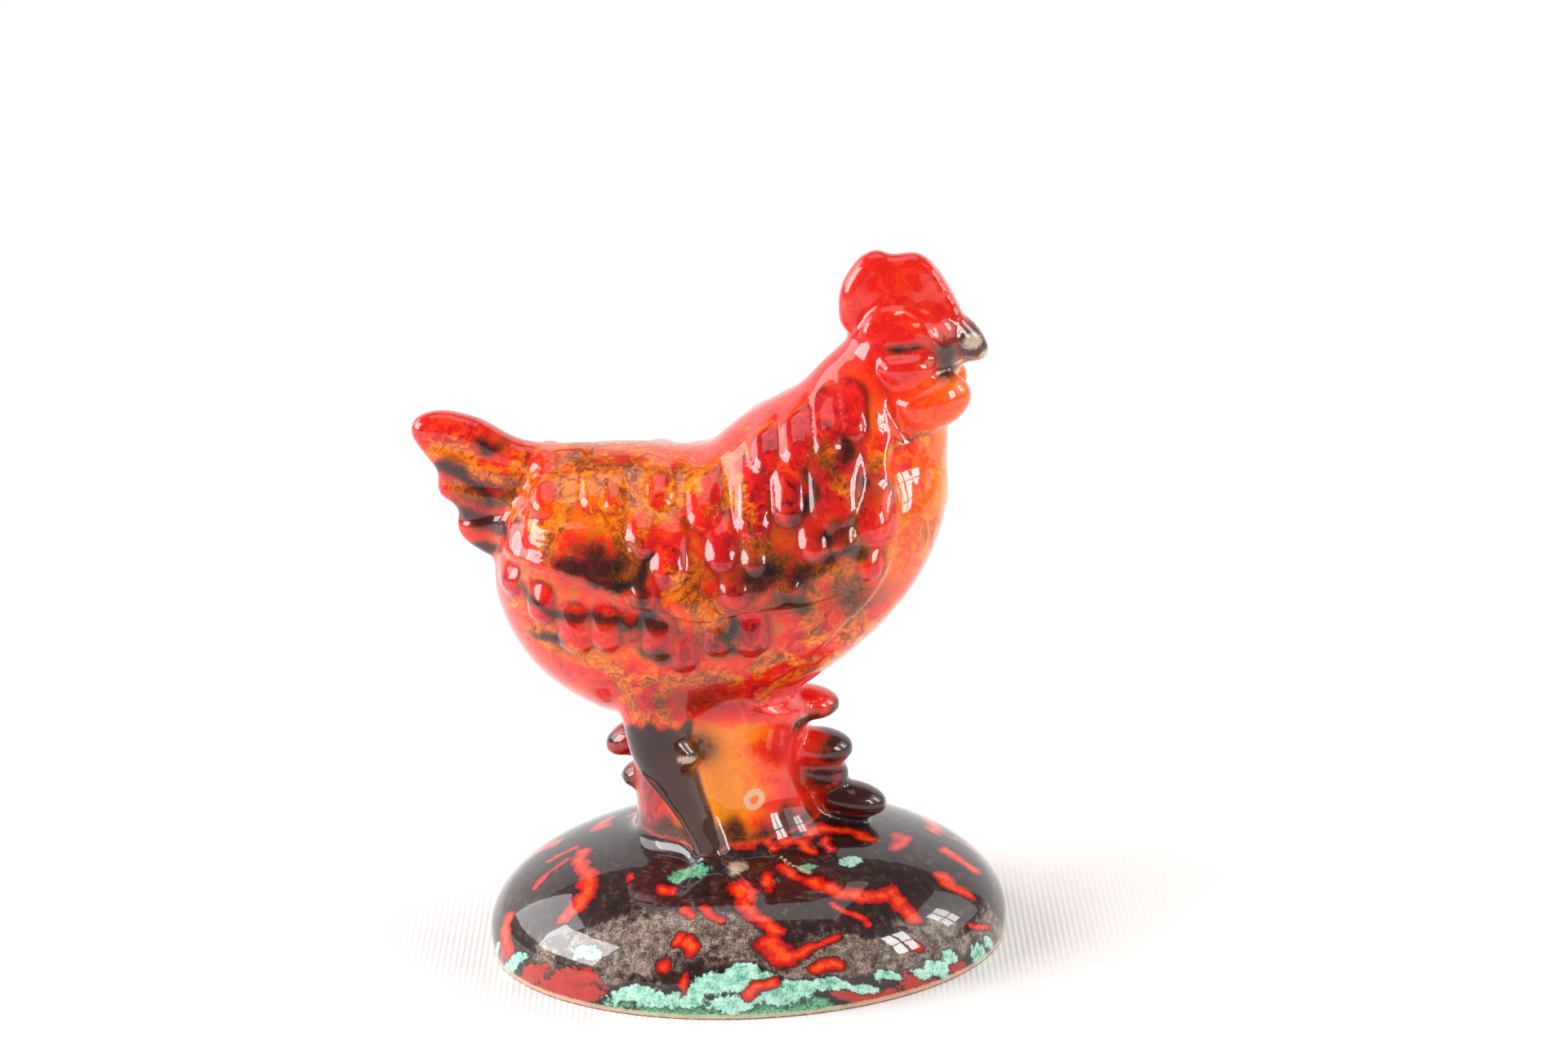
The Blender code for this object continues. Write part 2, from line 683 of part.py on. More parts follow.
def relief(points, normals):
    """How far each point moves out along its normal. Both sides carry the same relief."""
    x, z = points[:, 0], points[:, 2]
    sideways = smoothstep(0.15, 0.55, np.abs(normals[:, 1]))
    on_body = smoothstep(BELLY_Z - 0.004, BELLY_Z + 0.004, z)
    rise = feathers(x, z) + wing(x, z) + chest(x, z) + tail_relief(x, z) + head_relief(x, z)
    return rise * sideways * on_body


def carved(mesh):
    """The mesh with the relief raised on it."""
    count = len(mesh.vertices)
    points = np.empty(count * 3, np.float32)
    normals = np.empty(count * 3, np.float32)
    mesh.vertices.foreach_get("co", points)
    mesh.vertices.foreach_get("normal", normals)
    points = points.reshape(-1, 3).astype(float)
    normals = normals.reshape(-1, 3).astype(float)
    points += normals * relief(points, normals)[:, None]
    mesh.vertices.foreach_set("co", points.astype(np.float32).ravel())
    mesh.update()
    return mesh


def outer_skin():
    """The whole outside of the figure, carved, before it is cut off at the foot."""
    core = fused("core", [mound(), torso(), neck(), plinth(), *legs()], CORE_VOXEL, 20)
    extras = [*comb(), beak(), *face(), tail(), *leaves(), *toes()]
    return carved(fused("skin", [core, *extras], SKIN_VOXEL, 7))


def cavity():
    """The hollow that the slip leaves: the bulky forms, set in by the wall."""
    floor_z = FOOT_RECESS + WALL
    forms = [mound(WALL, floor_z), torso(WALL), neck(WALL), plinth(WALL)]
    return fused("cavity", forms, CAVITY_VOXEL, 4)


def thinned(mesh, triangles):
    """The mesh as triangles, brought down to about that many."""
    bm = bmesh.new()
    bm.from_mesh(mesh)
    bmesh.ops.triangulate(bm, faces=bm.faces)
    bm.to_mesh(mesh)
    bm.free()
    obj = scratch_object(mesh.name, mesh)
    decimate = obj.modifiers.new("Thin out", "DECIMATE")
    decimate.ratio = triangles / len(mesh.polygons)
    return baked(obj)


def oval_block(name, half_long, half_deep, low, high):
    """An upright oval block between two heights."""
    place = Matrix.Translation((0, 0, (low + high) / 2)) @ Matrix.Diagonal((half_long, half_deep, 1.0, 1.0))

    def build(bm):
        bmesh.ops.create_cone(
            bm,
            cap_ends=True,
            segments=64,
            radius1=1.0,
            radius2=1.0,
            depth=high - low,
            matrix=place,
        )

    return mesh_of(name, build)


def cutters():
    """What is taken out of the casting: below the foot, the recess, the hollow and the pour hole."""
    half_long = MOUND_LENGTH / 2
    half_deep = MOUND_DEPTH / 2
    below = oval_block("below_foot", half_long * 1.3, half_deep * 1.3, -CUT_MARGIN * 2, 0.0)
    recess = oval_block("recess", half_long - FOOT_RING, half_deep - FOOT_RING, -CUT_MARGIN, FOOT_RECESS)
    hollow = thinned(cavity(), CAVITY_TRIANGLES)
    pour = oval_block("pour_hole", POUR_HOLE / 2, POUR_HOLE / 2, -CUT_MARGIN, FOOT_RECESS + WALL * 2)
    return below, recess, hollow, pour


def glaze():
    material = bpy.data.materials.new("glaze")
    material.use_nodes = True
    shader = material.node_tree.nodes["Principled BSDF"]
    shader.inputs["Base Color"].default_value = GLAZE_COLOUR
    shader.inputs["Roughness"].default_value = GLAZE_ROUGHNESS
    shader.inputs["Metallic"].default_value = 0.0
    return material


def middle_x(mesh):
    """The middle of the mesh's extent along X."""
    xs = [vertex.co.x for vertex in mesh.vertices]
    return (min(xs) + max(xs)) / 2


def main():
    clear_scene()
    part = collection(NODE)
    helpers = collection("cutters")
    helpers.hide_render = True
    skin = thinned(outer_skin(), OUTER_TRIANGLES)
    skin.materials.append(glaze())
    shift = -middle_x(skin)
    hen = new_object(NODE, skin, part)
    hen.location.x = shift
    for mesh in cutters():
        cutter = new_object(mesh.name, mesh, helpers)
        cutter.location.x = shift
        cutter.hide_render = True
        cutter.display_type = "WIRE"
        cut = hen.modifiers.new("Cut " + cutter.name, "BOOLEAN")
        cut.operation = "DIFFERENCE"
        cut.solver = "EXACT"
        cut.object = cutter
    bpy.context.view_layer.update()


main()
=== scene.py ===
"""The looks of the hen figurine: its casting at full detail, its run glazes, and a plain studio.

Sizes are in metres. The forms repeat those of the CAD source. They are laid out with the centre of
the mound's foot at x = 0, and the whole figure is then moved along X into the frame of the CAD part.
"""

import math

import bmesh
import bpy
import numpy as np
from mathutils import Matrix, Vector

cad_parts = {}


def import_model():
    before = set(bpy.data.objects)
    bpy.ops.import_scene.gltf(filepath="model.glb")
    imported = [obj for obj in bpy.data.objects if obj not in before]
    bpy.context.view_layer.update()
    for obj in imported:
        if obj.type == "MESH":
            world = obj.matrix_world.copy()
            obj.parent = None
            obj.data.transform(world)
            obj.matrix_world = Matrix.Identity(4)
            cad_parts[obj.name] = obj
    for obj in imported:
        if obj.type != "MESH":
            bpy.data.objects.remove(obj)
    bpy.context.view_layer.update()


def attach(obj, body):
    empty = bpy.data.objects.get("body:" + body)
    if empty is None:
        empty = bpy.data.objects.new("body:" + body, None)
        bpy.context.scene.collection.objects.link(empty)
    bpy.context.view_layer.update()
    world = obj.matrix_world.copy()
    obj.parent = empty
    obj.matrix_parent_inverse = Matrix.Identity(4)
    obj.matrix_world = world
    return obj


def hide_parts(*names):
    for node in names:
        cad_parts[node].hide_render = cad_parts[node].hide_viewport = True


NODE = "hen_figurine"

# Mound
MOUND_LENGTH = 0.1110
MOUND_DEPTH = 0.0830
MOUND_HEIGHT = 0.0270
MOUND_SIDE_Z = 0.0035
MOUND_TUCK = 0.0008

# Torso, between the belly's lowest point and the back's line
BELLY_Z = 0.0500
BACK_Z = 0.1110
TORSO_LENGTH = 0.0955
TORSO_WIDTH = 0.0510
RUMP_X = -0.0500

# Neck and head
NECK_WIDTH = 0.0240
HEAD_X = 0.0370
HEAD_Z = 0.1270
HEAD_LENGTH = 0.0240
HEAD_HEIGHT = 0.0240
HEAD_WIDTH = 0.0190

# Comb, beak, face and wattles
COMB_LENGTH = 0.0250
COMB_HEIGHT = 0.0150
COMB_THICKNESS = 0.0066
BEAK_LENGTH = 0.0085
BEAK_DEPTH = 0.0106
BEAK_WIDTH = 0.0096
BROW_RADIUS = 0.0019
EAR_LENGTH = 0.0116
WATTLE_LENGTH = 0.0165
WATTLE_DROP = 0.0115
WATTLE_WIDTH = 0.0100

# Tail
TAIL_LENGTH = 0.0300
TAIL_HEIGHT = 0.0310
TAIL_THICKNESS = 0.0110
TAIL_EDGE = 0.0060

# Plinth between the legs, legs, toes and leaves
PLINTH_LENGTH = 0.0365
PLINTH_WIDTH = 0.0300
LEG_SPREAD = 0.0325
THIGH_RADIUS = 0.0072
SHANK_RADIUS = 0.0029
TOE_RADIUS = 0.0019
LEAF_WIDTH = 0.0116

# Relief of the plumage
FEATHER_WIDTH = 0.0060
FEATHER_LENGTH = 0.0105
FEATHER_RISE = 0.0015
WING_RISE = 0.0016
CHEST_STEP = 0.0010
GROOVE_WIDTH = 0.0010
GROOVE_DEPTH = 0.0006

# Casting
WALL = 0.0045
FOOT_RING = 0.0080
FOOT_RECESS = 0.0020
POUR_HOLE = 0.0150

# Mesh
CORE_VOXEL = 0.0010
SKIN_VOXEL = 0.0008
CAVITY_VOXEL = 0.0018
CORE_PASSES = 20
SKIN_PASSES = 7
CAVITY_PASSES = 4
CAVITY_TRIANGLES = 1500
RING_POINTS = 40
LOFT_STEPS = 6
CUT_MARGIN = 0.0060


def add_object(name, data):
    """An object in the scene with that mesh, curve, lamp or camera."""
    obj = bpy.data.objects.new(name, data)
    bpy.context.scene.collection.objects.link(obj)
    return obj


def mesh_of(name, build):
    """A mesh filled by build(bm), with its faces turned outwards."""
    bm = bmesh.new()
    build(bm)
    bmesh.ops.recalc_face_normals(bm, faces=bm.faces)
    mesh = bpy.data.meshes.new(name)
    bm.to_mesh(mesh)
    bm.free()
    return mesh


def baked(obj):
    """The object's evaluated mesh, welded and in world space. The object is removed."""
    graph = bpy.context.evaluated_depsgraph_get()
    mesh = bpy.data.meshes.new_from_object(obj.evaluated_get(graph))
    mesh.transform(obj.matrix_world)
    bm = bmesh.new()
    bm.from_mesh(mesh)
    bmesh.ops.remove_doubles(bm, verts=bm.verts, dist=1e-6)
    bm.to_mesh(mesh)
    bm.free()
    bpy.data.objects.remove(obj, do_unlink=True)
    return mesh


def smooth_rows(rows, steps):
    """Rows of numbers on a smooth curve through the given rows, with steps rows to each span."""
    rows = np.array(rows, float)
    padded = np.vstack([2 * rows[0] - rows[1], rows, 2 * rows[-1] - rows[-2]])
    made = []
    for p0, p1, p2, p3 in zip(padded, padded[1:], padded[2:], padded[3:]):
        for t in np.arange(steps) / steps:
            cubic = (3 * p1 - p0 - 3 * p2 + p3) * t**3
            square = (2 * p0 - 5 * p1 + 4 * p2 - p3) * t**2
            made.append(0.5 * (2 * p1 + (p2 - p0) * t + square + cubic))
    return np.array(made + [rows[-1]])


def smoothstep(low, high, values):
    """0 below low, 1 above high, and smooth between."""
    t = np.clip((values - low) / (high - low), 0.0, 1.0)
    return t * t * (3 - 2 * t)


def loft(name, stations, upright=False, inset=0.0):
    """A closed form through oval sections in the hen's middle plane.

    A station is (x, z, half height, half width). Sections stand square to the line through their
    centres, or upright across +X. An inset takes that much off each half height and half width.
    """
    rows = smooth_rows(stations, LOFT_STEPS)
    slopes = np.gradient(rows[:, :2], axis=0)
    turns = np.linspace(0, 2 * math.pi, RING_POINTS, endpoint=False)
    least = 0.0004

    def build(bm):
        rings = []
        for (x, z, high, wide), slope in zip(rows, slopes):
            dx, dz = (1.0, 0.0) if upright else slope / np.linalg.norm(slope)
            high = max(high - inset, least)
            wide = max(wide - inset, least)
            ring = []
            for turn in turns:
                up = high * math.cos(turn)
                ring.append(bm.verts.new((x - dz * up, wide * math.sin(turn), z + dx * up)))
            rings.append(ring)
        for near, far in zip(rings, rings[1:]):
            for i in range(RING_POINTS):
                j = (i + 1) % RING_POINTS
                bm.faces.new((near[i], near[j], far[j], far[i]))
        bm.faces.new(rings[0])
        bm.faces.new(rings[-1])

    return mesh_of(name, build)


def ellipsoid(name, centre, radii, pitch=0.0, yaw=0.0):
    """A ball scaled to three radii, tilted by pitch in the middle plane and turned by yaw."""
    turn = Matrix.Rotation(yaw, 4, "Z") @ Matrix.Rotation(-pitch, 4, "Y")
    place = Matrix.Translation(centre) @ turn @ Matrix.Diagonal((*radii, 1.0))

    def build(bm):
        bmesh.ops.create_uvsphere(bm, u_segments=32, v_segments=20, radius=1.0, matrix=place)

    return mesh_of(name, build)


def tube(name, points, radii):
    """A round bar through the points, with its own radius at each."""
    curve = bpy.data.curves.new(name, "CURVE")
    curve.dimensions = "3D"
    curve.bevel_depth = 1.0
    curve.bevel_resolution = 5
    curve.resolution_u = 8
    curve.use_fill_caps = True
    spline = curve.splines.new("BEZIER")
    spline.bezier_points.add(len(points) - 1)
    for knot, point, radius in zip(spline.bezier_points, points, radii):
        knot.co = point
        knot.radius = radius
        knot.handle_left_type = knot.handle_right_type = "AUTO"
    return baked(add_object(name, curve))


def blade(name, outline, half_thickness, edge):
    """A flat outline in the middle plane, extruded to both sides, with its edge rounded."""
    curve = bpy.data.curves.new(name, "CURVE")
    curve.dimensions = "2D"
    curve.fill_mode = "BOTH"
    curve.extrude = half_thickness - edge
    curve.bevel_depth = edge
    curve.offset = -edge
    curve.bevel_resolution = 4
    curve.resolution_u = 6
    spline = curve.splines.new("BEZIER")
    spline.use_cyclic_u = True
    spline.bezier_points.add(len(outline) - 1)
    for knot, (x, z) in zip(spline.bezier_points, outline):
        knot.co = (x, z, 0)
        knot.handle_left_type = knot.handle_right_type = "AUTO"
    obj = add_object(name, curve)
    obj.rotation_euler = (math.pi / 2, 0, 0)
    bpy.context.view_layer.update()
    return baked(obj)


def fused(name, meshes, voxel, passes):
    """One closed skin round all the meshes, with the joins between them smoothed."""
    bm = bmesh.new()
    for mesh in meshes:
        bm.from_mesh(mesh)
        bpy.data.meshes.remove(mesh)
    mesh = bpy.data.meshes.new(name)
    bm.to_mesh(mesh)
    bm.free()
    obj = add_object(name, mesh)
    remesh = obj.modifiers.new("Skin", "REMESH")
    remesh.mode = "VOXEL"
    remesh.voxel_size = voxel
    smooth = obj.modifiers.new("Soften", "SMOOTH")
    smooth.factor = 0.5
    smooth.iterations = passes
    return baked(obj)


# Roundness of the mound's section: the crown is flatter than an ellipse's, and the sides are steeper
MOUND_CROWN = 2.45
MOUND_SIDES = 2.10


def mound_surface_z(x, y):
    """The height of the mound's top above the foot at (x, y)."""
    out = math.hypot(x / (MOUND_LENGTH / 2), y / (MOUND_DEPTH / 2))
    angle = math.asin(min(out, 1.0) ** (MOUND_CROWN / 2))
    return MOUND_SIDE_Z + (MOUND_HEIGHT - MOUND_SIDE_Z) * math.cos(angle) ** (2 / MOUND_SIDES)


def mound(inset=0.0, floor_z=-CUT_MARGIN):
    """The oval mound down to floor_z, from a turned profile scaled to its depth."""
    half = MOUND_LENGTH / 2 - inset
    rise = MOUND_HEIGHT - inset - MOUND_SIDE_Z
    arc_points = 14
    profile = [(0.0, MOUND_HEIGHT - inset)]
    for k in range(1, arc_points + 1):
        angle = math.pi / 2 * k / arc_points
        out = half * math.sin(angle) ** (2 / MOUND_CROWN)
        up = MOUND_SIDE_Z + rise * max(math.cos(angle), 0.0) ** (2 / MOUND_SIDES)
        profile.append((out, max(up, floor_z)))
    if floor_z < 0:
        profile += [(half - MOUND_TUCK, 0.0), (half - MOUND_TUCK, floor_z)]
    profile.append((0.0, floor_z))

    def build(bm):
        verts = [bm.verts.new((x, 0, z)) for x, z in profile]
        for a, b in zip(verts, verts[1:]):
            bm.edges.new((a, b))

    obj = add_object("mound", mesh_of("mound", build))
    screw = obj.modifiers.new("Turn", "SCREW")
    screw.steps = screw.render_steps = 72
    screw.use_merge_vertices = True
    screw.merge_threshold = 0.0001
    obj.scale.y = (MOUND_DEPTH / 2 - inset) / half
    bpy.context.view_layer.update()
    return baked(obj)


def torso(inset=0.0):
    """The body from rump to breast, as upright ovals between the belly's and the back's heights."""
    tall = BACK_Z - BELLY_Z
    half = TORSO_WIDTH / 2
    # (share of the length, top and bottom as shares of the height, share of the half width)
    shape = (
        (0.010, 0.64, 0.48, 0.22), (0.045, 0.80, 0.34, 0.50), (0.110, 0.94, 0.20, 0.74),
        (0.220, 1.00, 0.08, 0.90), (0.340, 1.00, 0.02, 0.98), (0.470, 0.98, 0.01, 1.00),
        (0.600, 1.00, 0.08, 1.00), (0.730, 1.03, 0.20, 0.95), (0.830, 1.03, 0.33, 0.86),
        (0.910, 1.02, 0.47, 0.70), (0.965, 0.99, 0.62, 0.48), (0.995, 0.91, 0.76, 0.20),
    )
    stations = []
    for along, top, bottom, wide in shape:
        x = RUMP_X + TORSO_LENGTH * along
        middle = BELLY_Z + tall * (top + bottom) / 2
        stations.append((x, middle, tall * (top - bottom) / 2, half * wide))
    return loft("torso", stations, upright=True, inset=inset)


def neck(inset=0.0):
    """The neck and skull: from inside the shoulders, leaning forward, to the crown."""
    shoulder_x = RUMP_X + TORSO_LENGTH * 0.63
    shoulder_z = BACK_Z - 0.024
    half_body = TORSO_WIDTH / 2
    half_neck = NECK_WIDTH / 2
    half_head = HEAD_WIDTH / 2
    run = HEAD_LENGTH / 2
    rise = HEAD_HEIGHT / 2
    up = HEAD_Z - shoulder_z
    ahead = HEAD_X - shoulder_x
    stations = (
        (shoulder_x, shoulder_z, 0.0270, half_body * 0.90),
        (shoulder_x + ahead * 0.41, shoulder_z + up * 0.35, 0.0235, half_body * 0.84),
        (shoulder_x + ahead * 0.67, shoulder_z + up * 0.60, 0.0185, half_neck * 1.38),
        (shoulder_x + ahead * 0.82, shoulder_z + up * 0.80, 0.0150, half_neck * 1.00),
        (HEAD_X - 0.001, HEAD_Z - 0.001, run * 1.02, half_head * 1.08),
        (HEAD_X + 0.001, HEAD_Z + rise * 0.40, run * 0.98, half_head),
        (HEAD_X + 0.002, HEAD_Z + rise * 0.75, run * 0.78, half_head * 0.80),
        (HEAD_X + 0.002, HEAD_Z + rise, run * 0.30, half_head * 0.35),
    )
    return loft("neck", stations, inset=inset)


def plinth(inset=0.0):
    """The waisted column between the legs that carries the body on the mound."""
    long = PLINTH_LENGTH / 2
    wide = PLINTH_WIDTH / 2
    rise = BELLY_Z - MOUND_HEIGHT
    stations = (
        (-0.002, MOUND_HEIGHT - 0.010, long * 1.50, wide * 1.45),
        (-0.004, MOUND_HEIGHT + rise * 0.05, long * 1.07, wide * 1.15),
        (-0.005, MOUND_HEIGHT + rise * 0.50, long * 0.97, wide),
        (-0.004, MOUND_HEIGHT + rise * 1.00, long * 0.99, wide * 1.10),
        (-0.001, BELLY_Z + 0.010, long * 0.97, wide * 1.30),
    )
    return loft("plinth", stations, inset=inset)


def foot_place(side):
    """Where a leg meets the mound: x, y and the mound's height there."""
    x = -0.0066
    y = side * LEG_SPREAD * 0.56
    return x, y, mound_surface_z(x, y)


def legs():
    """A thigh and shank on each side, from the belly down to the mound."""
    made = []
    rise = BELLY_Z - MOUND_HEIGHT
    for side in (-1, 1):
        y = side * LEG_SPREAD / 2
        foot_x, foot_y, foot_z = foot_place(side)
        points = (
            (-0.0160, y * 0.80, BELLY_Z + 0.016),
            (-0.0168, y * 0.95, BELLY_Z + 0.006),
            (-0.0160, y, BELLY_Z - rise * 0.05),
            (-0.0135, y * 1.02, BELLY_Z - rise * 0.32),
            (-0.0100, y * 1.06, BELLY_Z - rise * 0.68),
            (foot_x, foot_y, foot_z + 0.001),
            (foot_x + 0.0015, foot_y, foot_z - 0.004),
        )
        radii = (
            THIGH_RADIUS * 1.25,
            THIGH_RADIUS,
            THIGH_RADIUS * 0.88,
            SHANK_RADIUS * 1.60,
            SHANK_RADIUS * 1.10,
            SHANK_RADIUS * 0.95,
            SHANK_RADIUS * 0.95,
        )
        made.append(tube("leg", points, radii))
        made.append(hock(side))
    return made


def hock(side):
    """The worn knob on the outside of each thigh."""
    centre = (-0.0130, side * (LEG_SPREAD / 2 + THIGH_RADIUS * 0.40), BELLY_Z + 0.0005)
    return ellipsoid("hock", centre, (THIGH_RADIUS * 0.80, 0.0035, 0.0030), pitch=-0.35)


def toes():
    """Three low toes from each foot, lying half sunk on the mound."""
    made = []
    for side in (-1, 1):
        foot_x, foot_y, _ = foot_place(side)
        # (forward, outward) of each toe's middle and tip
        reaches = (
            ((0.0090, -0.0020), (0.0200, 0.0005)),
            ((0.0050, 0.0040), (0.0095, 0.0100)),
            ((-0.0030, 0.0030), (-0.0070, 0.0075)),
        )
        for reach in reaches:
            places = [(foot_x, foot_y)]
            places += [(foot_x + ahead, foot_y + side * out) for ahead, out in reach]
            points = [(x, y, mound_surface_z(x, y) - 0.0004) for x, y in places]
            radii = (TOE_RADIUS * 1.25, TOE_RADIUS, TOE_RADIUS * 0.55)
            made.append(tube("toe", points, radii))
    return made


def comb():
    """The blade on the crown, tall at the back and running down to the beak."""
    x0 = HEAD_X - 0.0125
    z0 = HEAD_Z + HEAD_HEIGHT * 0.33
    outline = (
        (0.02, -0.10), (-0.03, 0.30), (0.06, 0.72), (0.27, 1.00), (0.42, 0.93), (0.62, 0.94),
        (0.76, 0.76), (0.87, 0.47), (0.97, 0.08), (0.98, -0.35), (0.50, -0.30),
    )
    points = [(x0 + COMB_LENGTH * u, z0 + COMB_HEIGHT * v) for u, v in outline]
    made = [blade("comb", points, COMB_THICKNESS / 2, COMB_THICKNESS * 0.46)]
    # The comb swells between its rounded edges
    swell = (x0 + COMB_LENGTH * 0.44, 0, z0 + COMB_HEIGHT * 0.40)
    radii = (COMB_LENGTH * 0.42, COMB_THICKNESS * 0.66, COMB_HEIGHT * 0.50)
    made.append(ellipsoid("comb_swell", swell, radii))
    # Small points down both sides of the comb's front edge
    point_count = 5
    for k in range(point_count):
        share = k / (point_count - 1)
        x = x0 + COMB_LENGTH * (0.70 + 0.21 * share)
        z = z0 + COMB_HEIGHT * (0.72 - 0.62 * share**1.1)
        for side in (-1, 1):
            point = (x, side * COMB_THICKNESS * 0.36, z)
            made.append(ellipsoid("comb_point", point, (0.0017, 0.0017, 0.0014)))
    return made


def beak():
    """The short blunt beak, from inside the skull to its tip."""
    x = HEAD_X + HEAD_LENGTH / 2 - 0.0040
    z = HEAD_Z + 0.0030
    deep = BEAK_DEPTH / 2
    wide = BEAK_WIDTH / 2
    stations = (
        (x - 0.0030, z + 0.0014, deep * 1.15, wide * 1.20),
        (x + BEAK_LENGTH * 0.20, z + 0.0010, deep * 1.02, wide * 1.05),
        (x + BEAK_LENGTH * 0.55, z - 0.0004, deep * 0.80, wide * 0.84),
        (x + BEAK_LENGTH * 0.85, z - 0.0020, deep * 0.50, wide * 0.54),
        (x + BEAK_LENGTH * 1.02, z - 0.0028, deep * 0.24, wide * 0.26),
    )
    return loft("beak", stations)


def face():
    """The brows, the ear lobes behind the beak and the wattles below it."""
    made = []
    for side in (-1, 1):
        # (x, half width, z) along the brow, from behind the eye round to the beak
        arch = (
            (-0.0084, 0.0052, 0.0045), (-0.0072, 0.0050, 0.0080), (-0.0046, 0.0046, 0.0100),
            (-0.0010, 0.0052, 0.0102), (0.0020, 0.0066, 0.0089), (0.0041, 0.0076, 0.0066),
            (0.0060, 0.0078, 0.0040),
        )
        points = [(HEAD_X + x, side * y, HEAD_Z + z) for x, y, z in arch]
        shares = (0.55, 0.85, 1.0, 1.0, 1.0, 0.9, 0.5)
        made.append(tube("brow", points, [BROW_RADIUS * share for share in shares]))
        ear = (HEAD_X + 0.0002, side * HEAD_WIDTH * 0.49, HEAD_Z + 0.0003)
        made.append(ellipsoid("ear", ear, (EAR_LENGTH / 2, 0.0026, 0.0030), pitch=-0.05, yaw=-side * 0.20))
        wattle = (HEAD_X + 0.0051, side * WATTLE_WIDTH * 0.82, HEAD_Z - WATTLE_DROP * 0.61)
        radii = (WATTLE_LENGTH / 2, WATTLE_WIDTH / 2, WATTLE_DROP / 2)
        made.append(ellipsoid("wattle", wattle, radii, pitch=0.22, yaw=-side * 0.30))
    return made


def tail():
    """The upright fan of the tail, thinner towards its back edge, which the feather tips scallop."""
    outline = (
        (0.45, 0.62), (-0.25, 0.78), (-0.60, 0.97), (-0.92, 0.99), (-1.00, 0.90), (-0.93, 0.74),
        (-0.84, 0.60), (-0.84, 0.46), (-0.72, 0.34), (-0.72, 0.18), (-0.58, 0.04), (-0.40, -0.05),
        (-0.10, -0.16), (0.45, -0.22),
    )
    points = [tail_place(u, v) for u, v in outline]
    mesh = blade("tail", points, TAIL_THICKNESS / 2, TAIL_THICKNESS * 0.38)
    root_x, tip_x = tail_place(0.0, 0.0)[0], tail_place(-1.0, 0.0)[0]
    for vertex in mesh.vertices:
        out = (root_x - vertex.co.x) / (root_x - tip_x)
        vertex.co.y *= 1 + min(max(out, 0.0), 1.0) * (TAIL_EDGE / TAIL_THICKNESS - 1)
    return mesh


def leaves():
    """Drooping lobes of foliage in front of the plinth and behind it."""
    front = PLINTH_LENGTH / 2 - 0.0020
    back = -PLINTH_LENGTH / 2 - 0.0060
    gap = BELLY_Z - MOUND_HEIGHT
    # (x, height, half length, half height, share of the width, lift of the front end as an angle)
    lobes = (
        (front - 0.0022, BELLY_Z + gap * 0.13, 0.0074, 0.0036, 1.00, -0.10),
        (front, BELLY_Z - gap * 0.31, 0.0077, 0.0040, 1.00, -0.10),
        (front + 0.0006, BELLY_Z - gap * 0.55, 0.0060, 0.0040, 0.90, -0.25),
        (front + 0.0064, BELLY_Z - gap * 0.84, 0.0082, 0.0038, 0.92, -0.22),
        (back + 0.0020, BELLY_Z - gap * 0.13, 0.0068, 0.0036, 0.80, 0.42),
        (back + 0.0035, BELLY_Z - gap * 0.50, 0.0050, 0.0030, 0.75, 0.20),
    )
    made = []
    for x, z, long, high, share, lift in lobes:
        made.append(ellipsoid("leaf", (x, 0, z), (long, LEAF_WIDTH / 2 * share, high), pitch=lift))
    return made


# Feather drops, row by row down the side. Each has the centre of its round tip, as shares of the torso's
# length from the rump and of its height from the belly, and shares of the feather's width and length.
FEATHERS = (
    # Neck
    (0.60, 1.00, 1.0, 0.8), (0.67, 1.03, 1.1, 0.8), (0.735, 1.05, 1.1, 0.8), (0.79, 1.10, 1.0, 0.7),
    # Back
    (0.13, 0.875, 1.1, 0.9), (0.236, 0.895, 0.75, 0.4), (0.282, 0.89, 0.8, 0.4), (0.38, 0.90, 1.0, 0.6),
    # Shoulder
    (0.47, 0.845, 1.2, 0.9), (0.57, 0.82, 1.25, 1.1), (0.65, 0.86, 1.1, 1.1), (0.75, 0.85, 1.9, 1.1),
    # Covert
    (0.345, 0.78, 1.2, 0.4), (0.395, 0.69, 1.2, 0.9), (0.505, 0.72, 1.0, 0.6), (0.574, 0.70, 0.8, 0.4),
    # Breast
    (0.70, 0.745, 1.0, 0.5), (0.763, 0.75, 1.05, 0.5), (0.825, 0.80, 1.4, 0.5), (0.815, 0.65, 0.9, 0.3),
    # Edge
    (0.34, 0.60, 0.9, 0.2), (0.53, 0.60, 1.0, 0.2), (0.64, 0.605, 0.9, 0.2), (0.047, 0.60, 0.8, 0.3),
    # Flank
    (0.117, 0.53, 0.9, 0.4), (0.19, 0.44, 1.2, 0.5), (0.255, 0.455, 1.1, 0.4), (0.307, 0.475, 0.7, 0.3),
    # Thigh
    (0.365, 0.43, 1.15, 0.5), (0.415, 0.37, 0.9, 0.4), (0.49, 0.43, 1.0, 0.5), (0.56, 0.43, 1.15, 0.5),
)
# The wing's lower edge, from its tip at the rump, and the border between plumage and plain chest
WING_EDGE = (
    (0.02, 0.70), (0.10, 0.675), (0.20, 0.64), (0.30, 0.575), (0.38, 0.535), (0.46, 0.51),
    (0.57, 0.54), (0.66, 0.55), (0.75, 0.58), (0.84, 0.645),
)
CHEST_EDGE = (
    (0.67, 0.30), (0.74, 0.42), (0.82, 0.54), (0.865, 0.68), (0.88, 0.85), (0.865, 0.98), (0.88, 1.11),
)
# Grooves in the same shares: between the wing's quills, and at the root of the tail
WING_GROOVES = (
    ((0.09, 0.735), (0.34, 0.695)),
    ((0.10, 0.775), (0.33, 0.745)),
    ((0.13, 0.82), (0.23, 0.83)),
)
TAIL_ROOT = ((0.115, 1.02), (0.09, 0.86), (0.085, 0.70))
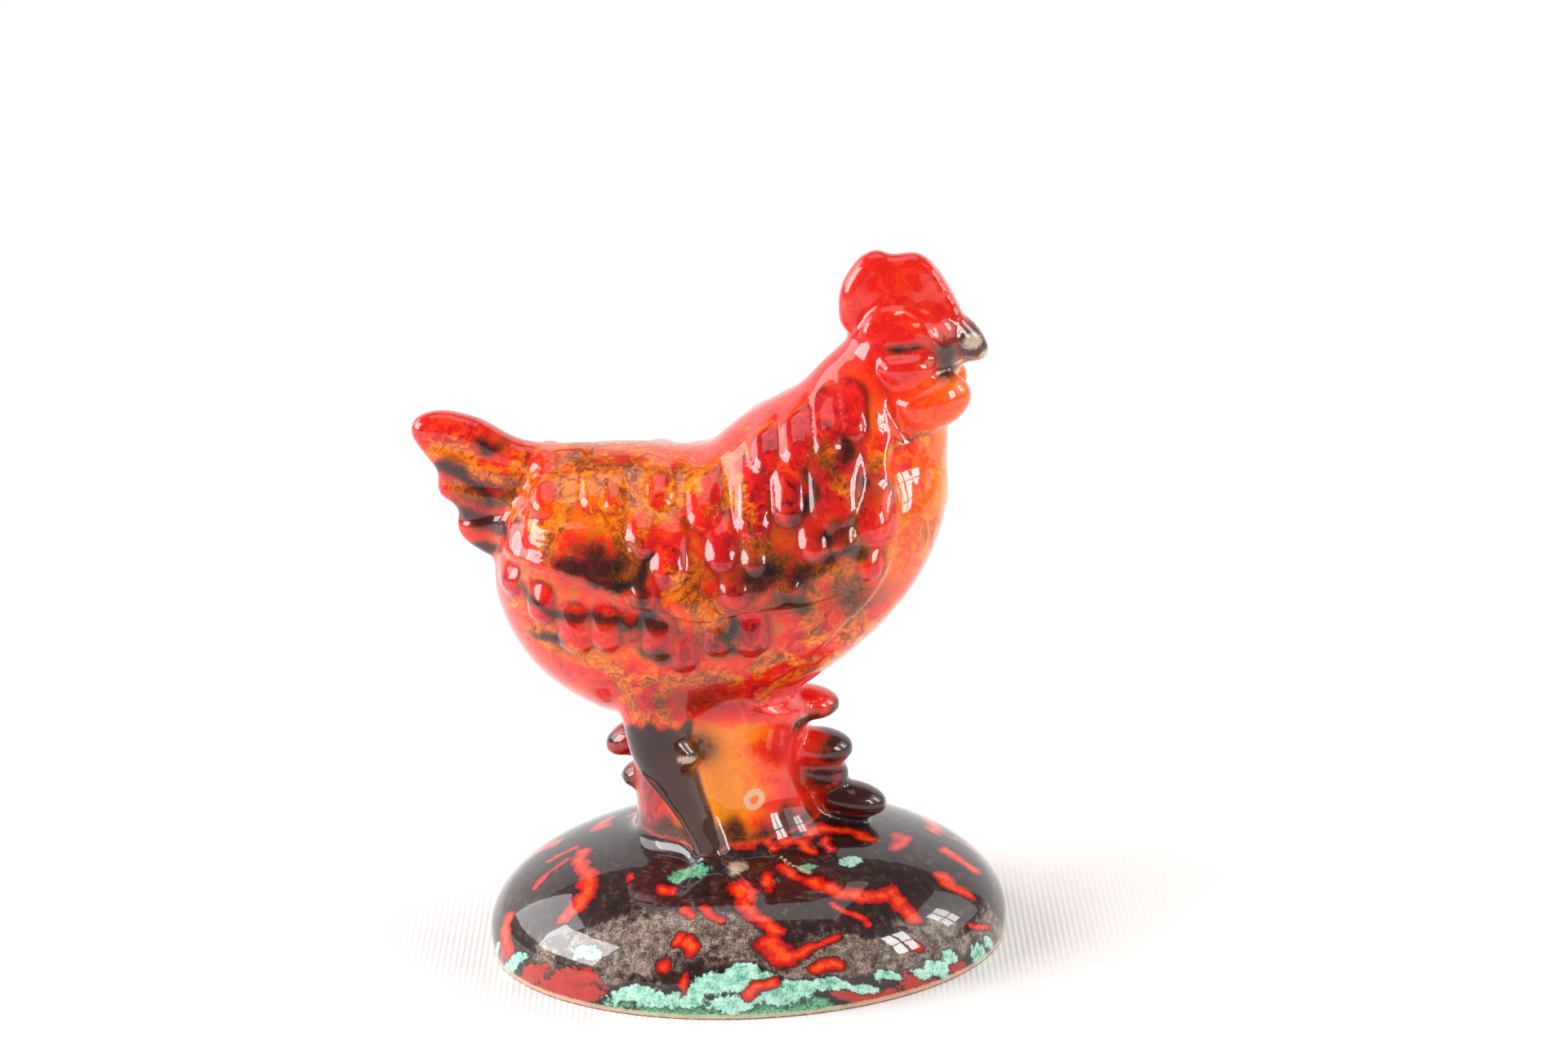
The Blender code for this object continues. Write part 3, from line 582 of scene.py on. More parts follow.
# Tail grooves, from the root to the edge, as shares of the tail's length and height
TAIL_GROOVES = (
    ((-0.22, 0.62), (-0.96, 0.84)),
    ((-0.20, 0.50), (-0.88, 0.53)),
    ((-0.18, 0.38), (-0.76, 0.26)),
)
# Creases and a fold of the face, in shares of the head's length and height from its centre
EYE_SOCKET = ((-0.20, 0.18), (-0.02, 0.17), (0.16, 0.20))
EAR_CREASE = ((-0.27, 0.12), (-0.26, -0.04), (-0.10, -0.16), (0.10, -0.14), (0.32, -0.06))
WATTLE_CREASE = ((-0.16, -0.16), (-0.14, -0.30), (-0.09, -0.44), (0.00, -0.56))
HACKLE_FOLD = ((-0.40, -0.10), (-0.32, -0.30), (-0.28, -0.50))
MOUTH = ((0.40, 0.02), (0.52, 0.00), (0.64, -0.06))


def torso_place(u, v):
    """The (x, z) of shares of the torso's length and height."""
    return RUMP_X + TORSO_LENGTH * u, BELLY_Z + (BACK_Z - BELLY_Z) * v


def tail_place(u, v):
    """The (x, z) of shares of the tail's length and height, from its root in the rump."""
    return RUMP_X + 0.0155 + TAIL_LENGTH * u, BACK_Z - 0.0225 + TAIL_HEIGHT * v


def head_place(u, v):
    """The (x, z) of shares of the head's length and height, from its centre."""
    return HEAD_X + HEAD_LENGTH * u, HEAD_Z + HEAD_HEIGHT * v


def feathers(x, z):
    """Rise of the feather drops: each is round at its tip and fades towards its root."""
    rise = np.zeros_like(x)
    for u, v, wide, long in FEATHERS:
        tip_x, tip_z = torso_place(u, v)
        radius = FEATHER_WIDTH * wide / 2
        up = z - tip_z
        away = np.hypot(x - tip_x, np.minimum(up, 0.0)) / radius
        dome = np.clip(1 - away**2, 0.0, 1.0) ** 0.75
        fade = 1 - smoothstep(0.0, radius + FEATHER_LENGTH * long, up)
        rise = np.maximum(rise, dome * fade * min(wide, 1.3))
    return rise * FEATHER_RISE


def line_pull(x, z, points, width):
    """Nearness to a line through the points: 1 on it, falling off to both sides and at its ends."""
    line = smooth_rows(points, 24)
    steps = np.linspace(0, 1, len(line))
    ends = smoothstep(0.0, 0.15, steps) * (1 - smoothstep(0.85, 1.0, steps))
    pull = np.zeros_like(x)
    for (px, pz), end in zip(line, ends):
        near = np.exp(-((x - px) ** 2 + (z - pz) ** 2) / width**2)
        pull = np.maximum(pull, near * (0.35 + 0.65 * end))
    return pull


def wing(x, z):
    """Rise of the wing above its lower edge, with the grooves between its quills."""
    edge = smooth_rows([torso_place(u, v) for u, v in WING_EDGE], 6)
    above = z - np.interp(x, edge[:, 0], edge[:, 1])
    tip, front = edge[0, 0], edge[-1, 0]
    along = smoothstep(tip - 0.002, tip + 0.004, x) * (1 - smoothstep(front - 0.012, front, x))
    pad = smoothstep(-0.0008, 0.0010, above) * (1 - smoothstep(0.005, 0.022, above))
    rise = WING_RISE * pad * along
    for ends in WING_GROOVES:
        rise -= GROOVE_DEPTH * line_pull(x, z, [torso_place(u, v) for u, v in ends], GROOVE_WIDTH)
    return rise


def chest(x, z):
    """The step down from the plumage to the plain chest."""
    edge = smooth_rows([torso_place(u, v) for u, v in CHEST_EDGE], 6)
    past = x - np.interp(z, edge[:, 1], edge[:, 0])
    low, high = edge[0, 1], edge[-1, 1]
    along = smoothstep(low, low + 0.010, z) * (1 - smoothstep(high - 0.008, high, z))
    return -CHEST_STEP * smoothstep(-0.0008, 0.0012, past) * (1 - smoothstep(0.004, 0.012, past)) * along


def tail_relief(x, z):
    """The grooves at the root of the tail and along it."""
    root = [torso_place(u, v) for u, v in TAIL_ROOT]
    rise = -GROOVE_DEPTH * 1.4 * line_pull(x, z, root, GROOVE_WIDTH * 1.8)
    for ends in TAIL_GROOVES:
        rise -= GROOVE_DEPTH * line_pull(x, z, [tail_place(u, v) for u, v in ends], GROOVE_WIDTH)
    return rise


def head_relief(x, z):
    """The fold of the hackle and the creases round the eye, the ear, the wattle and the beak."""
    rise = 0.0006 * line_pull(x, z, [head_place(u, v) for u, v in HACKLE_FOLD], 0.0014)
    for points, depth, width in (
        (EYE_SOCKET, 0.0008, 0.0014),
        (EAR_CREASE, 0.0006, 0.0009),
        (WATTLE_CREASE, 0.0007, 0.0012),
        (MOUTH, 0.0005, 0.0006),
    ):
        rise -= depth * line_pull(x, z, [head_place(u, v) for u, v in points], width)
    return rise


def sideways(normals):
    """1 where the surface faces a side, and 0 where it faces up, down, ahead or back."""
    return smoothstep(0.15, 0.55, np.abs(normals[:, 1]))


def relief(points, normals):
    """How far each point moves out along its normal. Both sides carry the same relief."""
    x, z = points[:, 0], points[:, 2]
    on_body = smoothstep(BELLY_Z - 0.004, BELLY_Z + 0.004, z)
    rise = feathers(x, z) + wing(x, z) + chest(x, z) + tail_relief(x, z) + head_relief(x, z)
    return rise * sideways(normals) * on_body


def point_rows(mesh, name):
    """A vector attribute of the mesh's points, as rows."""
    rows = np.empty(len(mesh.vertices) * 3, np.float32)
    mesh.vertices.foreach_get(name, rows)
    return rows.reshape(-1, 3).astype(float)


def carved(mesh):
    """The mesh with the relief raised on it."""
    points = point_rows(mesh, "co")
    normals = point_rows(mesh, "normal")
    points += normals * relief(points, normals)[:, None]
    mesh.vertices.foreach_set("co", points.astype(np.float32).ravel())
    mesh.update()
    return mesh


def outer_skin():
    """The whole outside of the figure, carved, before it is cut off at the foot."""
    core = fused("core", [mound(), torso(), neck(), plinth(), *legs()], CORE_VOXEL, CORE_PASSES)
    extras = [*comb(), beak(), *face(), tail(), *leaves(), *toes()]
    return carved(fused("skin", [core, *extras], SKIN_VOXEL, SKIN_PASSES))


def cavity():
    """The hollow that the slip leaves: the bulky forms, set in by the wall."""
    floor_z = FOOT_RECESS + WALL
    forms = [mound(WALL, floor_z), torso(WALL), neck(WALL), plinth(WALL)]
    return fused("cavity", forms, CAVITY_VOXEL, CAVITY_PASSES)


def thinned(mesh, triangles):
    """The mesh as triangles, brought down to about that many."""
    bm = bmesh.new()
    bm.from_mesh(mesh)
    bmesh.ops.triangulate(bm, faces=bm.faces)
    bm.to_mesh(mesh)
    bm.free()
    obj = add_object(mesh.name, mesh)
    decimate = obj.modifiers.new("Thin out", "DECIMATE")
    decimate.ratio = triangles / len(mesh.polygons)
    return baked(obj)


def oval_block(name, half_long, half_deep, low, high):
    """An upright oval block between two heights."""
    place = Matrix.Translation((0, 0, (low + high) / 2)) @ Matrix.Diagonal((half_long, half_deep, 1.0, 1.0))

    def build(bm):
        bmesh.ops.create_cone(
            bm,
            cap_ends=True,
            segments=64,
            radius1=1.0,
            radius2=1.0,
            depth=high - low,
            matrix=place,
        )

    return mesh_of(name, build)


def cutters():
    """What is taken out of the casting: below the foot, the recess, the hollow and the pour hole."""
    half_long = MOUND_LENGTH / 2
    half_deep = MOUND_DEPTH / 2
    below = oval_block("below_foot", half_long * 1.3, half_deep * 1.3, -CUT_MARGIN * 2, 0.0)
    recess = oval_block("recess", half_long - FOOT_RING, half_deep - FOOT_RING, -CUT_MARGIN, FOOT_RECESS)
    hollow = thinned(cavity(), CAVITY_TRIANGLES)
    pour = oval_block("pour_hole", POUR_HOLE / 2, POUR_HOLE / 2, -CUT_MARGIN, FOOT_RECESS + WALL * 2)
    return below, recess, hollow, pour


def middle_x(mesh):
    """The middle of the mesh's extent along X."""
    xs = [vertex.co.x for vertex in mesh.vertices]
    return (min(xs) + max(xs)) / 2


# The run glazes on the side that the photograph shows. Places are (x, z) in millimetres from the
# centre of the mound's foot. A stream is its half width and the points that it runs through.
OCHRE_STREAMS = (
    (1.9, (-21, 100), (-22, 95), (-21, 91)),
    (2.2, (-12, 104), (-16, 100), (-21, 95), (-22, 91)),
    (1.7, (-35, 108), (-35, 102), (-36, 95)),
    (1.3, (-31, 108), (-32, 104)),
    (1.9, (3, 107), (4, 102), (5, 98), (6, 95)),
    (1.8, (3, 95), (7, 93), (10, 90), (10, 86)),
    (2.7, (19, 114), (22, 108), (24, 104), (24, 99), (24, 93)),
    (2.5, (-11, 91), (-7, 87), (-3, 82), (0, 78)),
    (2.8, (24, 87), (25, 80), (24, 74)),
    (2.6, (14, 82), (16, 77)),
    (1.9, (-32, 73), (-24, 70), (-21, 64), (-21, 59)),
    (1.5, (-41, 78), (-36, 75), (-31, 73)),
    (1.2, (-18, 68), (-7, 67), (0, 66)),
    (1.0, (4, 69), (10, 71), (15, 71)),
    (1.7, (24, 72), (30, 75), (37, 78)),
    (2.8, (-19, 58), (-18, 52), (-16, 50)),
    (1.3, (31, 111), (36, 113), (41, 112)),
    (1.3, (-5, 101), (0, 103), (3, 102)),
    (1.0, (18, 84), (18, 89), (20, 91), (22, 87)),
    (1.4, (-14, 66), (-14, 59), (-11, 55)),
    (1.2, (5, 62), (11, 66), (18, 69)),
    (1.3, (-42, 109), (-44, 104), (-41, 98)),
    (2.2, (-60, 112), (-53, 110), (-46, 106)),
    (1.7, (-57, 104), (-50, 103), (-45, 102)),
)
OCHRE_OVALS = (
    (-20, 106, 9.5, 4.6), (-29, 109, 5.4, 2.9), (-10, 107, 4.1, 3.3), (42, 93, 5.1, 5.6),
    (-10, 52, 5.4, 2.2),
)
DARK_STREAMS = (
    (1.8, (-41, 85), (-34, 83), (-26, 81), (-16, 80)),
    (1.5, (-34, 93), (-24, 90), (-18, 87)),
    (1.4, (-15, 94), (-18, 92), (-19, 89), (-18, 84)),
    (1.5, (16, 109), (16, 106), (15, 101)),
    (1.3, (1, 81), (0, 77), (1, 74)),
    (1.7, (-62, 107), (-55, 107), (-49, 104)),
    (2.6, (-57, 99), (-52, 98), (-47, 97)),
)
DARK_OVALS = (
    (-27, 94, 5.1, 3.5), (-31, 93, 4.1, 1.9), (-18, 81, 3.4, 2.5), (5, 91, 6.1, 4.0),
    (11, 84, 4.1, 3.6), (14, 90, 4.1, 3.4), (21, 98, 4.8, 3.7), (22, 93, 5.1, 1.8),
    (-1, 77, 2.7, 1.9), (-15, 75, 2.7, 2.0), (-46, 65, 3.4, 3.6), (24, 113, 2.7, 3.2),
    (44, 75, 5.1, 2.3), (-48, 113, 3.4, 1.4), (27, 108, 2.0, 2.2), (-37, 77, 4.1, 1.1),
    (-53, 91, 4.8, 2.0),
)
# Thin brown smoke over the red, round the dark pools
SMOKE_OVALS = (
    (8, 92, 13, 7), (16, 103, 8, 7), (27, 104, 5, 6), (19, 110, 5, 6), (-27, 92, 9, 5),
    (-22, 79, 13, 3), (-53, 100, 8, 5), (26, 84, 8, 5), (-1, 77, 8, 5), (-8, 62, 10, 4),
)
SMOKE = 0.58
# Shades of the red glaze, from 0 for crimson to 1 for yellow-orange:
# (x, z, half length, half height, shade)
TONES = (
    (-24, 107, 14, 6, 0.66), (-10, 106, 8, 6, 0.60), (48, 98, 10, 22, 1.0), (38, 88, 8, 9, 0.60),
    (26, 96, 6, 6, 0.56), (37, 106, 6, 8, 0.56), (37, 118, 8, 4, 0.48), (46, 119, 4, 3, 0.55),
    (38, 141, 14, 8, 0.38), (30, 132, 8, 7, 0.30), (44, 133, 6, 5, 0.30), (28, 112, 9, 6, 0.38),
    (-30, 76, 9, 5, 0.52), (-10, 64, 14, 5, 0.24), (2, 76, 12, 5, 0.30), (-28, 64, 10, 6, 0.34),
    (22, 64, 12, 7, 0.42), (-54, 112, 10, 4, 0.30), (-52, 101, 8, 4, 0.40),
)
BASE_TONE = 0.36

# The mound's glazes, as (x, d), with d the distance out and down from the middle of its top
VEINS = (
    (1.6, (-34, 9), (-33.5, 19), (-33, 27), (-35, 30), (-38.5, 33.5)),
    (0.8, (-36, 6), (-42.5, 9.5)),
    (0.7, (-37.5, 11.5), (-44.5, 20)),
    (2.1, (-1.5, 30.5), (0.5, 35.5)),
    (1.6, (1, 37), (2, 39), (5, 45)),
    (2.8, (5, 49.5), (6.5, 52.5)),
    (1.5, (7.5, 52.5), (12.5, 50.5)),
    (0.9, (12.5, 50), (19, 48)),
    (1.2, (-2, 9.5), (-0.5, 16), (3.5, 13), (5.5, 16.5)),
    (1.2, (8, 22.5), (11.5, 27)),
    (2.1, (14.5, 29), (18, 32.5), (22, 32.5), (26.5, 33), (30.5, 32)),
    (1.4, (31, 33), (32.5, 35.5), (35, 39)),
    (0.8, (17, 37), (20.5, 39), (24, 40.5), (25, 43)),
    (1.6, (13.5, 10.5), (17, 8.5), (22.5, 7), (26, 10.5)),
    (1.1, (17, 12.5), (19, 16.5)),
    (1.3, (43, 12), (45.5, 14.5), (48.5, 17)),
    (1.6, (41.5, 23.5), (44, 27.5), (46, 28.5)),
    (0.8, (46.5, 38.5), (50, 37)),
    (0.9, (-13, 37), (-11.5, 40)),
    (1.0, (-9, 36.5), (-6.5, 39.5), (-4.5, 41)),
    (1.3, (-12, 47.5), (-10.5, 50.5)),
    (1.2, (8, 14), (12, 13), (15, 17)),
    (0.9, (-6, 12), (-9, 17)),
    (1.2, (14, 56), (18.5, 54)),
    (1.2, (0, 62), (5.5, 60.5)),
    (1.2, (-49.5, 26.5), (-51, 31.5), (-49.5, 39)),
    (1.1, (31, 14.5), (33.5, 8)),
)
VEIN_OVALS = (
    (5, 29.5, 1.3, 3.0), (-16, 29, 1.5, 2.0), (-24.5, 23.5, 0.8, 1.9), (-14.5, 46.5, 1.1, 1.4),
    (-17.5, 52.5, 1.4, 1.8), (-12.5, 58, 0.7, 2.0), (32, 8.5, 1.8, 1.9), (33.5, 47.5, 1.6, 1.2),
)
WORN_VEINS = ((0.7, (7, 19), (14, 25)),)
WORN_OVALS = ((-2, 24, 2.3, 3.0),)
JADE_OVALS = (
    (21.5, 20.5, 2.0, 1.7), (-33, 46, 3.2, 2.2), (-49, 42, 2.5, 1.8), (-53, 34.5, 1.1, 1.3),
    (-24.5, 59.5, 5.3, 1.7), (-19, 61.5, 4.1, 2.0), (-12, 61.5, 3.5, 2.3), (-7, 59, 3.9, 2.2),
    (-2, 57, 3.5, 1.6), (0, 59.5, 5.8, 1.8), (-3.5, 64, 5.3, 1.5), (6.5, 63.5, 5.3, 2.0),
    (10.5, 61, 4.7, 1.8), (17, 59.5, 3.5, 1.5), (23, 59.5, 2.9, 0.9), (39, 52, 2.8, 2.0),
    (42, 48, 1.6, 1.9), (49, 45, 2.3, 2.4), (51, 40.5, 1.1, 1.1), (35.5, 54.5, 2.3, 1.0),
    (27.5, 57, 2.9, 0.9),
)
GREEN_OVALS = (
    (-11.5, 24.5, 3.2, 1.8), (13, 23, 2.2, 0.8), (-18, 64, 6.0, 1.9), (-8, 65.5, 9.0, 2.2),
    (4, 66, 9.0, 2.2), (12, 65, 6.0, 1.8), (-27, 61, 3.6, 1.4),
)
ASH_OVALS = (
    (-22, 46.5, 8.8, 6.4), (-31, 44.5, 5.3, 4.4), (-11, 45, 7.0, 5.4), (-1, 46, 4.7, 5.8),
    (11, 55.5, 7.0, 2.6), (22, 51.5, 9.9, 3.3), (30.5, 51, 7.0, 3.2), (39, 44, 5.3, 4.3),
    (51, 36.5, 2.6, 4.5), (-32.5, 53.5, 5.3, 2.3), (-42.5, 45, 1.8, 3.9),
)
RUST_OVALS = (
    (-39.5, 53, 8.0, 3.6), (-46, 47.5, 3.5, 2.2), (-35, 57, 4.7, 2.0), (27.5, 62, 10.5, 2.0),
    (37, 57.5, 7.0, 2.6), (44.5, 51, 3.5, 2.5), (-50.5, 36, 1.4, 5.0),
)
MOUND_GLAZES = {
    "vein": (VEINS, VEIN_OVALS),
    "jade": ((), JADE_OVALS),
    "green": ((), GREEN_OVALS),
    "ash": ((), ASH_OVALS),
    "rust": ((), RUST_OVALS),
    "worn": (WORN_VEINS, WORN_OVALS),
}

# Black glaze on the leaves and the back of the stand, on the legs' knobs, on the beak and in the eye
STAND_DARKS = (
    (14.0, 51.0, 4.5, 1.8), (20.5, 52.0, 1.2, 1.2), (20.0, 43.0, 4.2, 3.0), (17.0, 38.0, 5.0, 3.2),
    (29.0, 28.5, 3.0, 2.4), (19.0, 31.5, 2.5, 2.5), (24.5, 33.8, 4.0, 0.9), (-24.5, 38.0, 2.2, 3.5),
    (-28.0, 46.5, 2.6, 1.2),
)
KNOB_DARKS = ((-10.0, 50.0, 5.5, 4.2),)
BEAK_DARKS = ((50.5, 130.6, 5.0, 5.0), (45.4, 129.8, 3.4, 3.6), (45.6, 126.8, 3.0, 2.0))
EYE_DARKS = ((35.4, 131.4, 2.6, 1.1), (38.4, 131.7, 2.2, 0.7))
# Worn places where the pale body shows through the glaze
CREAM_OVALS = (
    (50.4, 131.0, 2.2, 2.0), (53.0, 127.2, 1.3, 1.5), (48.0, 126.9, 1.8, 0.5),
    (24.0, 44.5, 0.8, 0.9), (30.6, 30.0, 0.7, 1.3), (36.0, 137.8, 1.5, 0.45),
    (39.4, 135.8, 1.3, 0.5), (-10.5, 50.0, 2.4, 1.0),
)
# A pale ring at the stand's foot, on the near side: (x, z, radius)
PALE_RING = (2.5, 37.0, 1.6)
# A leg's middle line and the reach of its black glaze: (x, |y|, z, radius), in millimetres
LEG_LINE = (
    (-16.0, 13.5, 64.0, 8.0), (-16.8, 15.4, 56.0, 7.6), (-16.0, 16.3, 48.9, 6.6),
    (-13.5, 16.6, 42.6, 4.9), (-10.0, 17.2, 34.4, 3.6), (-6.6, 18.2, 26.0, 3.1),
)

MM = 0.001

# Heights in millimetres between which one thing passes into another, the head's along a slope
PLUMAGE_BORDER = (50.0, 56.0)
STAND_BORDER = (53.0, 60.0)
HEAD_BORDER = (112.0, 122.0)
BEAK_BORDER = (121.5, 123.5)
RIM_BORDER = (0.9, 1.7)

# How strongly the places of the glazes are pushed about
BODY_WOBBLE = 0.75
MOUND_WOBBLE = 0.45
STAND_WOBBLE = 0.30
HEAD_WOBBLE = 0.25


def uneven(a, b, amount):
    """Places pushed about by slow and quick waves, so that patches drawn with them aren't round."""
    push_a = 1.0 * np.sin(b / 1.9 + 0.7 * np.sin(a / 3.1)) + 1.4 * np.sin(a / 4.3 + b / 6.1 + 1.3)
    push_a += 0.5 * np.sin(b / 0.8 + a / 1.7)
    push_b = 0.9 * np.sin(a / 2.1 + 0.8 * np.sin(b / 2.7)) + 1.3 * np.sin(a / 5.3 - b / 4.9 + 0.4)
    push_b += 0.5 * np.sin(a / 0.9 - b / 1.6)
    return a + amount * push_a, b + amount * push_b


def ovals(a, b, rows):
    """How near each point is to oval patches: 1 in the middle of one, and 0.5 at its edge."""
    field = np.zeros_like(a)
    for centre_a, centre_b, half_a, half_b in rows:
        away = ((a - centre_a) / half_a) ** 2 + ((b - centre_b) / half_b) ** 2
        field = np.maximum(field, 0.5**away)
    return field


def streams(a, b, rows):
    """How near each point is to streams: 1 in the middle of one, and 0.5 at its edge."""
    field = np.zeros_like(a)
    for half_width, *points in rows:
        for point_a, point_b in smooth_rows(points, 8):
            away = ((a - point_a) ** 2 + (b - point_b) ** 2) / half_width**2
            field = np.maximum(field, 0.5**away)
    return field


def shades(x, z):
    """The red glaze's shade, from its patches and the base shade."""
    total = np.full_like(x, 0.25)
    shade = total * BASE_TONE
    for centre_x, centre_z, half_x, half_z, tone in TONES:
        weight = 2 * 0.5 ** (((x - centre_x) / half_x) ** 2 + ((z - centre_z) / half_z) ** 2)
        weight = weight**2
        total += weight
        shade += weight * tone
    return shade / total


def near_and_far(y, near, far):
    """The near side's value, passing into the far side's across the middle plane."""
    share = smoothstep(-3.0, 3.0, y)
    return near * (1 - share) + far * share


def glazed(a, b, lines, patches):
    """How near each point is to one glaze's streams and ovals."""
    return np.maximum(streams(a, b, lines), ovals(a, b, patches))


def body_fields(x, y, z):
    """Shade, ochre and dark glaze on the hen. The far side has a run of its own."""
    far_x = x + 5.0 + 3.0 * np.sin(z / 7.0)
    far_z = z + 3.0 * np.sin(x / 9.0 + 1.0)
    runs = []
    for a, b in (uneven(x, z, BODY_WOBBLE), uneven(far_x, far_z, BODY_WOBBLE)):
        ochre = glazed(a, b, OCHRE_STREAMS, OCHRE_OVALS)
        dark = glazed(a, b, DARK_STREAMS, DARK_OVALS)
        runs.append((ochre, np.maximum(dark, SMOKE * ovals(a, b, SMOKE_OVALS))))
    ochre, dark = (near_and_far(y, near, far) for near, far in zip(*runs))
    return shades(x, z), ochre, dark


def mound_fields(x, y, z):
    """The mound's own glazes, by name. The far side has them turned end for end."""
    out = np.abs(y) + MOUND_HEIGHT / MM - z
    near_place = uneven(x, out, MOUND_WOBBLE)
    far_place = uneven(4.0 - x * 0.95, out, MOUND_WOBBLE)
    fields = {}
    for name, (lines, patches) in MOUND_GLAZES.items():
        near = glazed(*near_place, lines, patches)
        fields[name] = near_and_far(y, near, glazed(*far_place, lines, patches))
    return fields


def on_mound(x, y, z):
    """1 on the mound and the toes, 0 on what stands on it, with a soft border. Metres."""
    out = np.minimum(np.hypot(x / (MOUND_LENGTH / 2), y / (MOUND_DEPTH / 2)), 1.0)
    cosine = np.sqrt(1 - out**MOUND_CROWN)
    top = MOUND_SIDE_Z + (MOUND_HEIGHT - MOUND_SIDE_Z) * cosine ** (2 / MOUND_SIDES)
    return 1 - smoothstep(0.0015, 0.0040, z - top)


def leg_glaze(x, y, z):
    """1 on a leg, 0 off it, with a soft border. Millimetres."""
    away = np.full_like(x, 99.0)
    for leg_x, leg_y, leg_z, radius in smooth_rows(LEG_LINE, 6):
        reach = np.sqrt((x - leg_x) ** 2 + (np.abs(y) - leg_y) ** 2 + (z - leg_z) ** 2)
        away = np.minimum(away, reach - radius)
    border = 57.0 + 0.7 * np.sin(x / 1.7) + 0.5 * np.sin(x / 0.6)
    return (1 - smoothstep(-0.8, 1.2, away)) * (1 - smoothstep(-1.5, 1.5, z - border))


def feather_contour(x, z):
    """How far each point lies outside the nearest feather drop, and below 0 inside one. Millimetres."""
    soft = 0.0005
    total = np.full_like(x, 1e-9)
    for u, v, wide, long in FEATHERS:
        tip_x, tip_z = torso_place(u, v)
        radius = FEATHER_WIDTH * wide / 2
        up = z - tip_z
        reach = (radius + FEATHER_LENGTH * long) * 0.5
        away = np.hypot(x - tip_x, up - np.clip(up, 0.0, reach)) - radius
        total += np.exp(-away / soft)
    return -soft * np.log(total) / MM


def stand_shade(x, wavy):
    """The red glaze's shade under the belly: orange in front of the legs and red behind them."""
    front = 0.56 * smoothstep(-1.0, 10.0, x + 2 * wavy)
    back = 0.80 * (1 - smoothstep(-18.0, -11.0, x + wavy))
    return 0.90 - front - back


def stand_darks(x, y, z, wavy, below, ground):
    """Black glaze at the stand's foot, on its leaves and front, on the legs and on their knobs."""
    foot = 0.85 * (1 - smoothstep(29.5, 36.0, z + 1.6 * np.sin(x / 1.9) + 0.8 * np.sin(x / 0.8)))
    on_leaves = ovals(*uneven(x, z, STAND_WOBBLE), STAND_DARKS) * (np.abs(y) < 11.0)
    front = 1.05 * smoothstep(16.0, 22.0, x + 2 * wavy) * (np.abs(y) < 7.0)
    on_legs = 1.3 * leg_glaze(x, y, z) * (1 - ground)
    on_knobs = ovals(x, z, KNOB_DARKS) * (np.abs(y) > 14.0)
    return foot * below, on_leaves * below, front * below, on_legs, on_knobs


def head_darks(x, y, z):
    """Black glaze on the beak and in the eye."""
    on_beak = ovals(*uneven(x, z, HEAD_WOBBLE), BEAK_DARKS) * smoothstep(*BEAK_BORDER, z)
    in_eye = ovals(x, z, EYE_DARKS) * (np.abs(y) > 4.0)
    return on_beak, in_eye


def pale_places(x, y, z, below):
    """Worn places on the hen, the bare rim of the foot, and a pale ring at the stand's foot."""
    worn = ovals(*uneven(x, z, HEAD_WOBBLE), CREAM_OVALS)
    rim = 1 - smoothstep(*RIM_BORDER, z)
    ring_x, ring_z, ring_radius = PALE_RING
    from_ring = np.abs(np.hypot(x - ring_x, z - ring_z) - ring_radius)
    ring = 1.2 * (1 - smoothstep(0.3, 1.0, from_ring)) * below * (y < 0)
    return worn, rim, ring


def paint(mesh):
    """Stores the glaze fields on the mesh's points, for the material to read."""
    points = point_rows(mesh, "co")
    x, y, z = (points / MM).T
    ground = on_mound(*points.T)
    below = (1 - smoothstep(*STAND_BORDER, z)) * (1 - ground)
    wavy = 0.8 * np.sin(z / 2.3) + 0.5 * np.sin(z / 0.9 + y)
    shade, ochre, dark = body_fields(x, y, z)
    darks = [*stand_darks(x, y, z, wavy, below, ground), *head_darks(x, y, z)]
    plumage = sideways(point_rows(mesh, "normal")) * smoothstep(*PLUMAGE_BORDER, z)
    fields = mound_fields(x, y, z)
    pales = [fields.pop("worn") * ground, *pale_places(x, y, z, below)]
    fields |= {
        "ground": ground,
        "shade": shade * (1 - below) + stand_shade(x, wavy) * below,
        "ochre": ochre * (1 - below),
        "dark": np.maximum.reduce([dark * (1 - below), *darks]),
        "cream": np.maximum.reduce(pales),
        "calm": np.maximum(below, smoothstep(*HEAD_BORDER, z + 0.5 * x - 16.0)),
        "boss": feathers(points[:, 0], points[:, 2]) / FEATHER_RISE * plumage,
        "contour": feather_contour(points[:, 0], points[:, 2]) + 8.0 * (1 - plumage),
    }
    for name, values in fields.items():
        layer = mesh.attributes.new(name, "FLOAT", "POINT")
        layer.data.foreach_set("value", values.astype(np.float32))


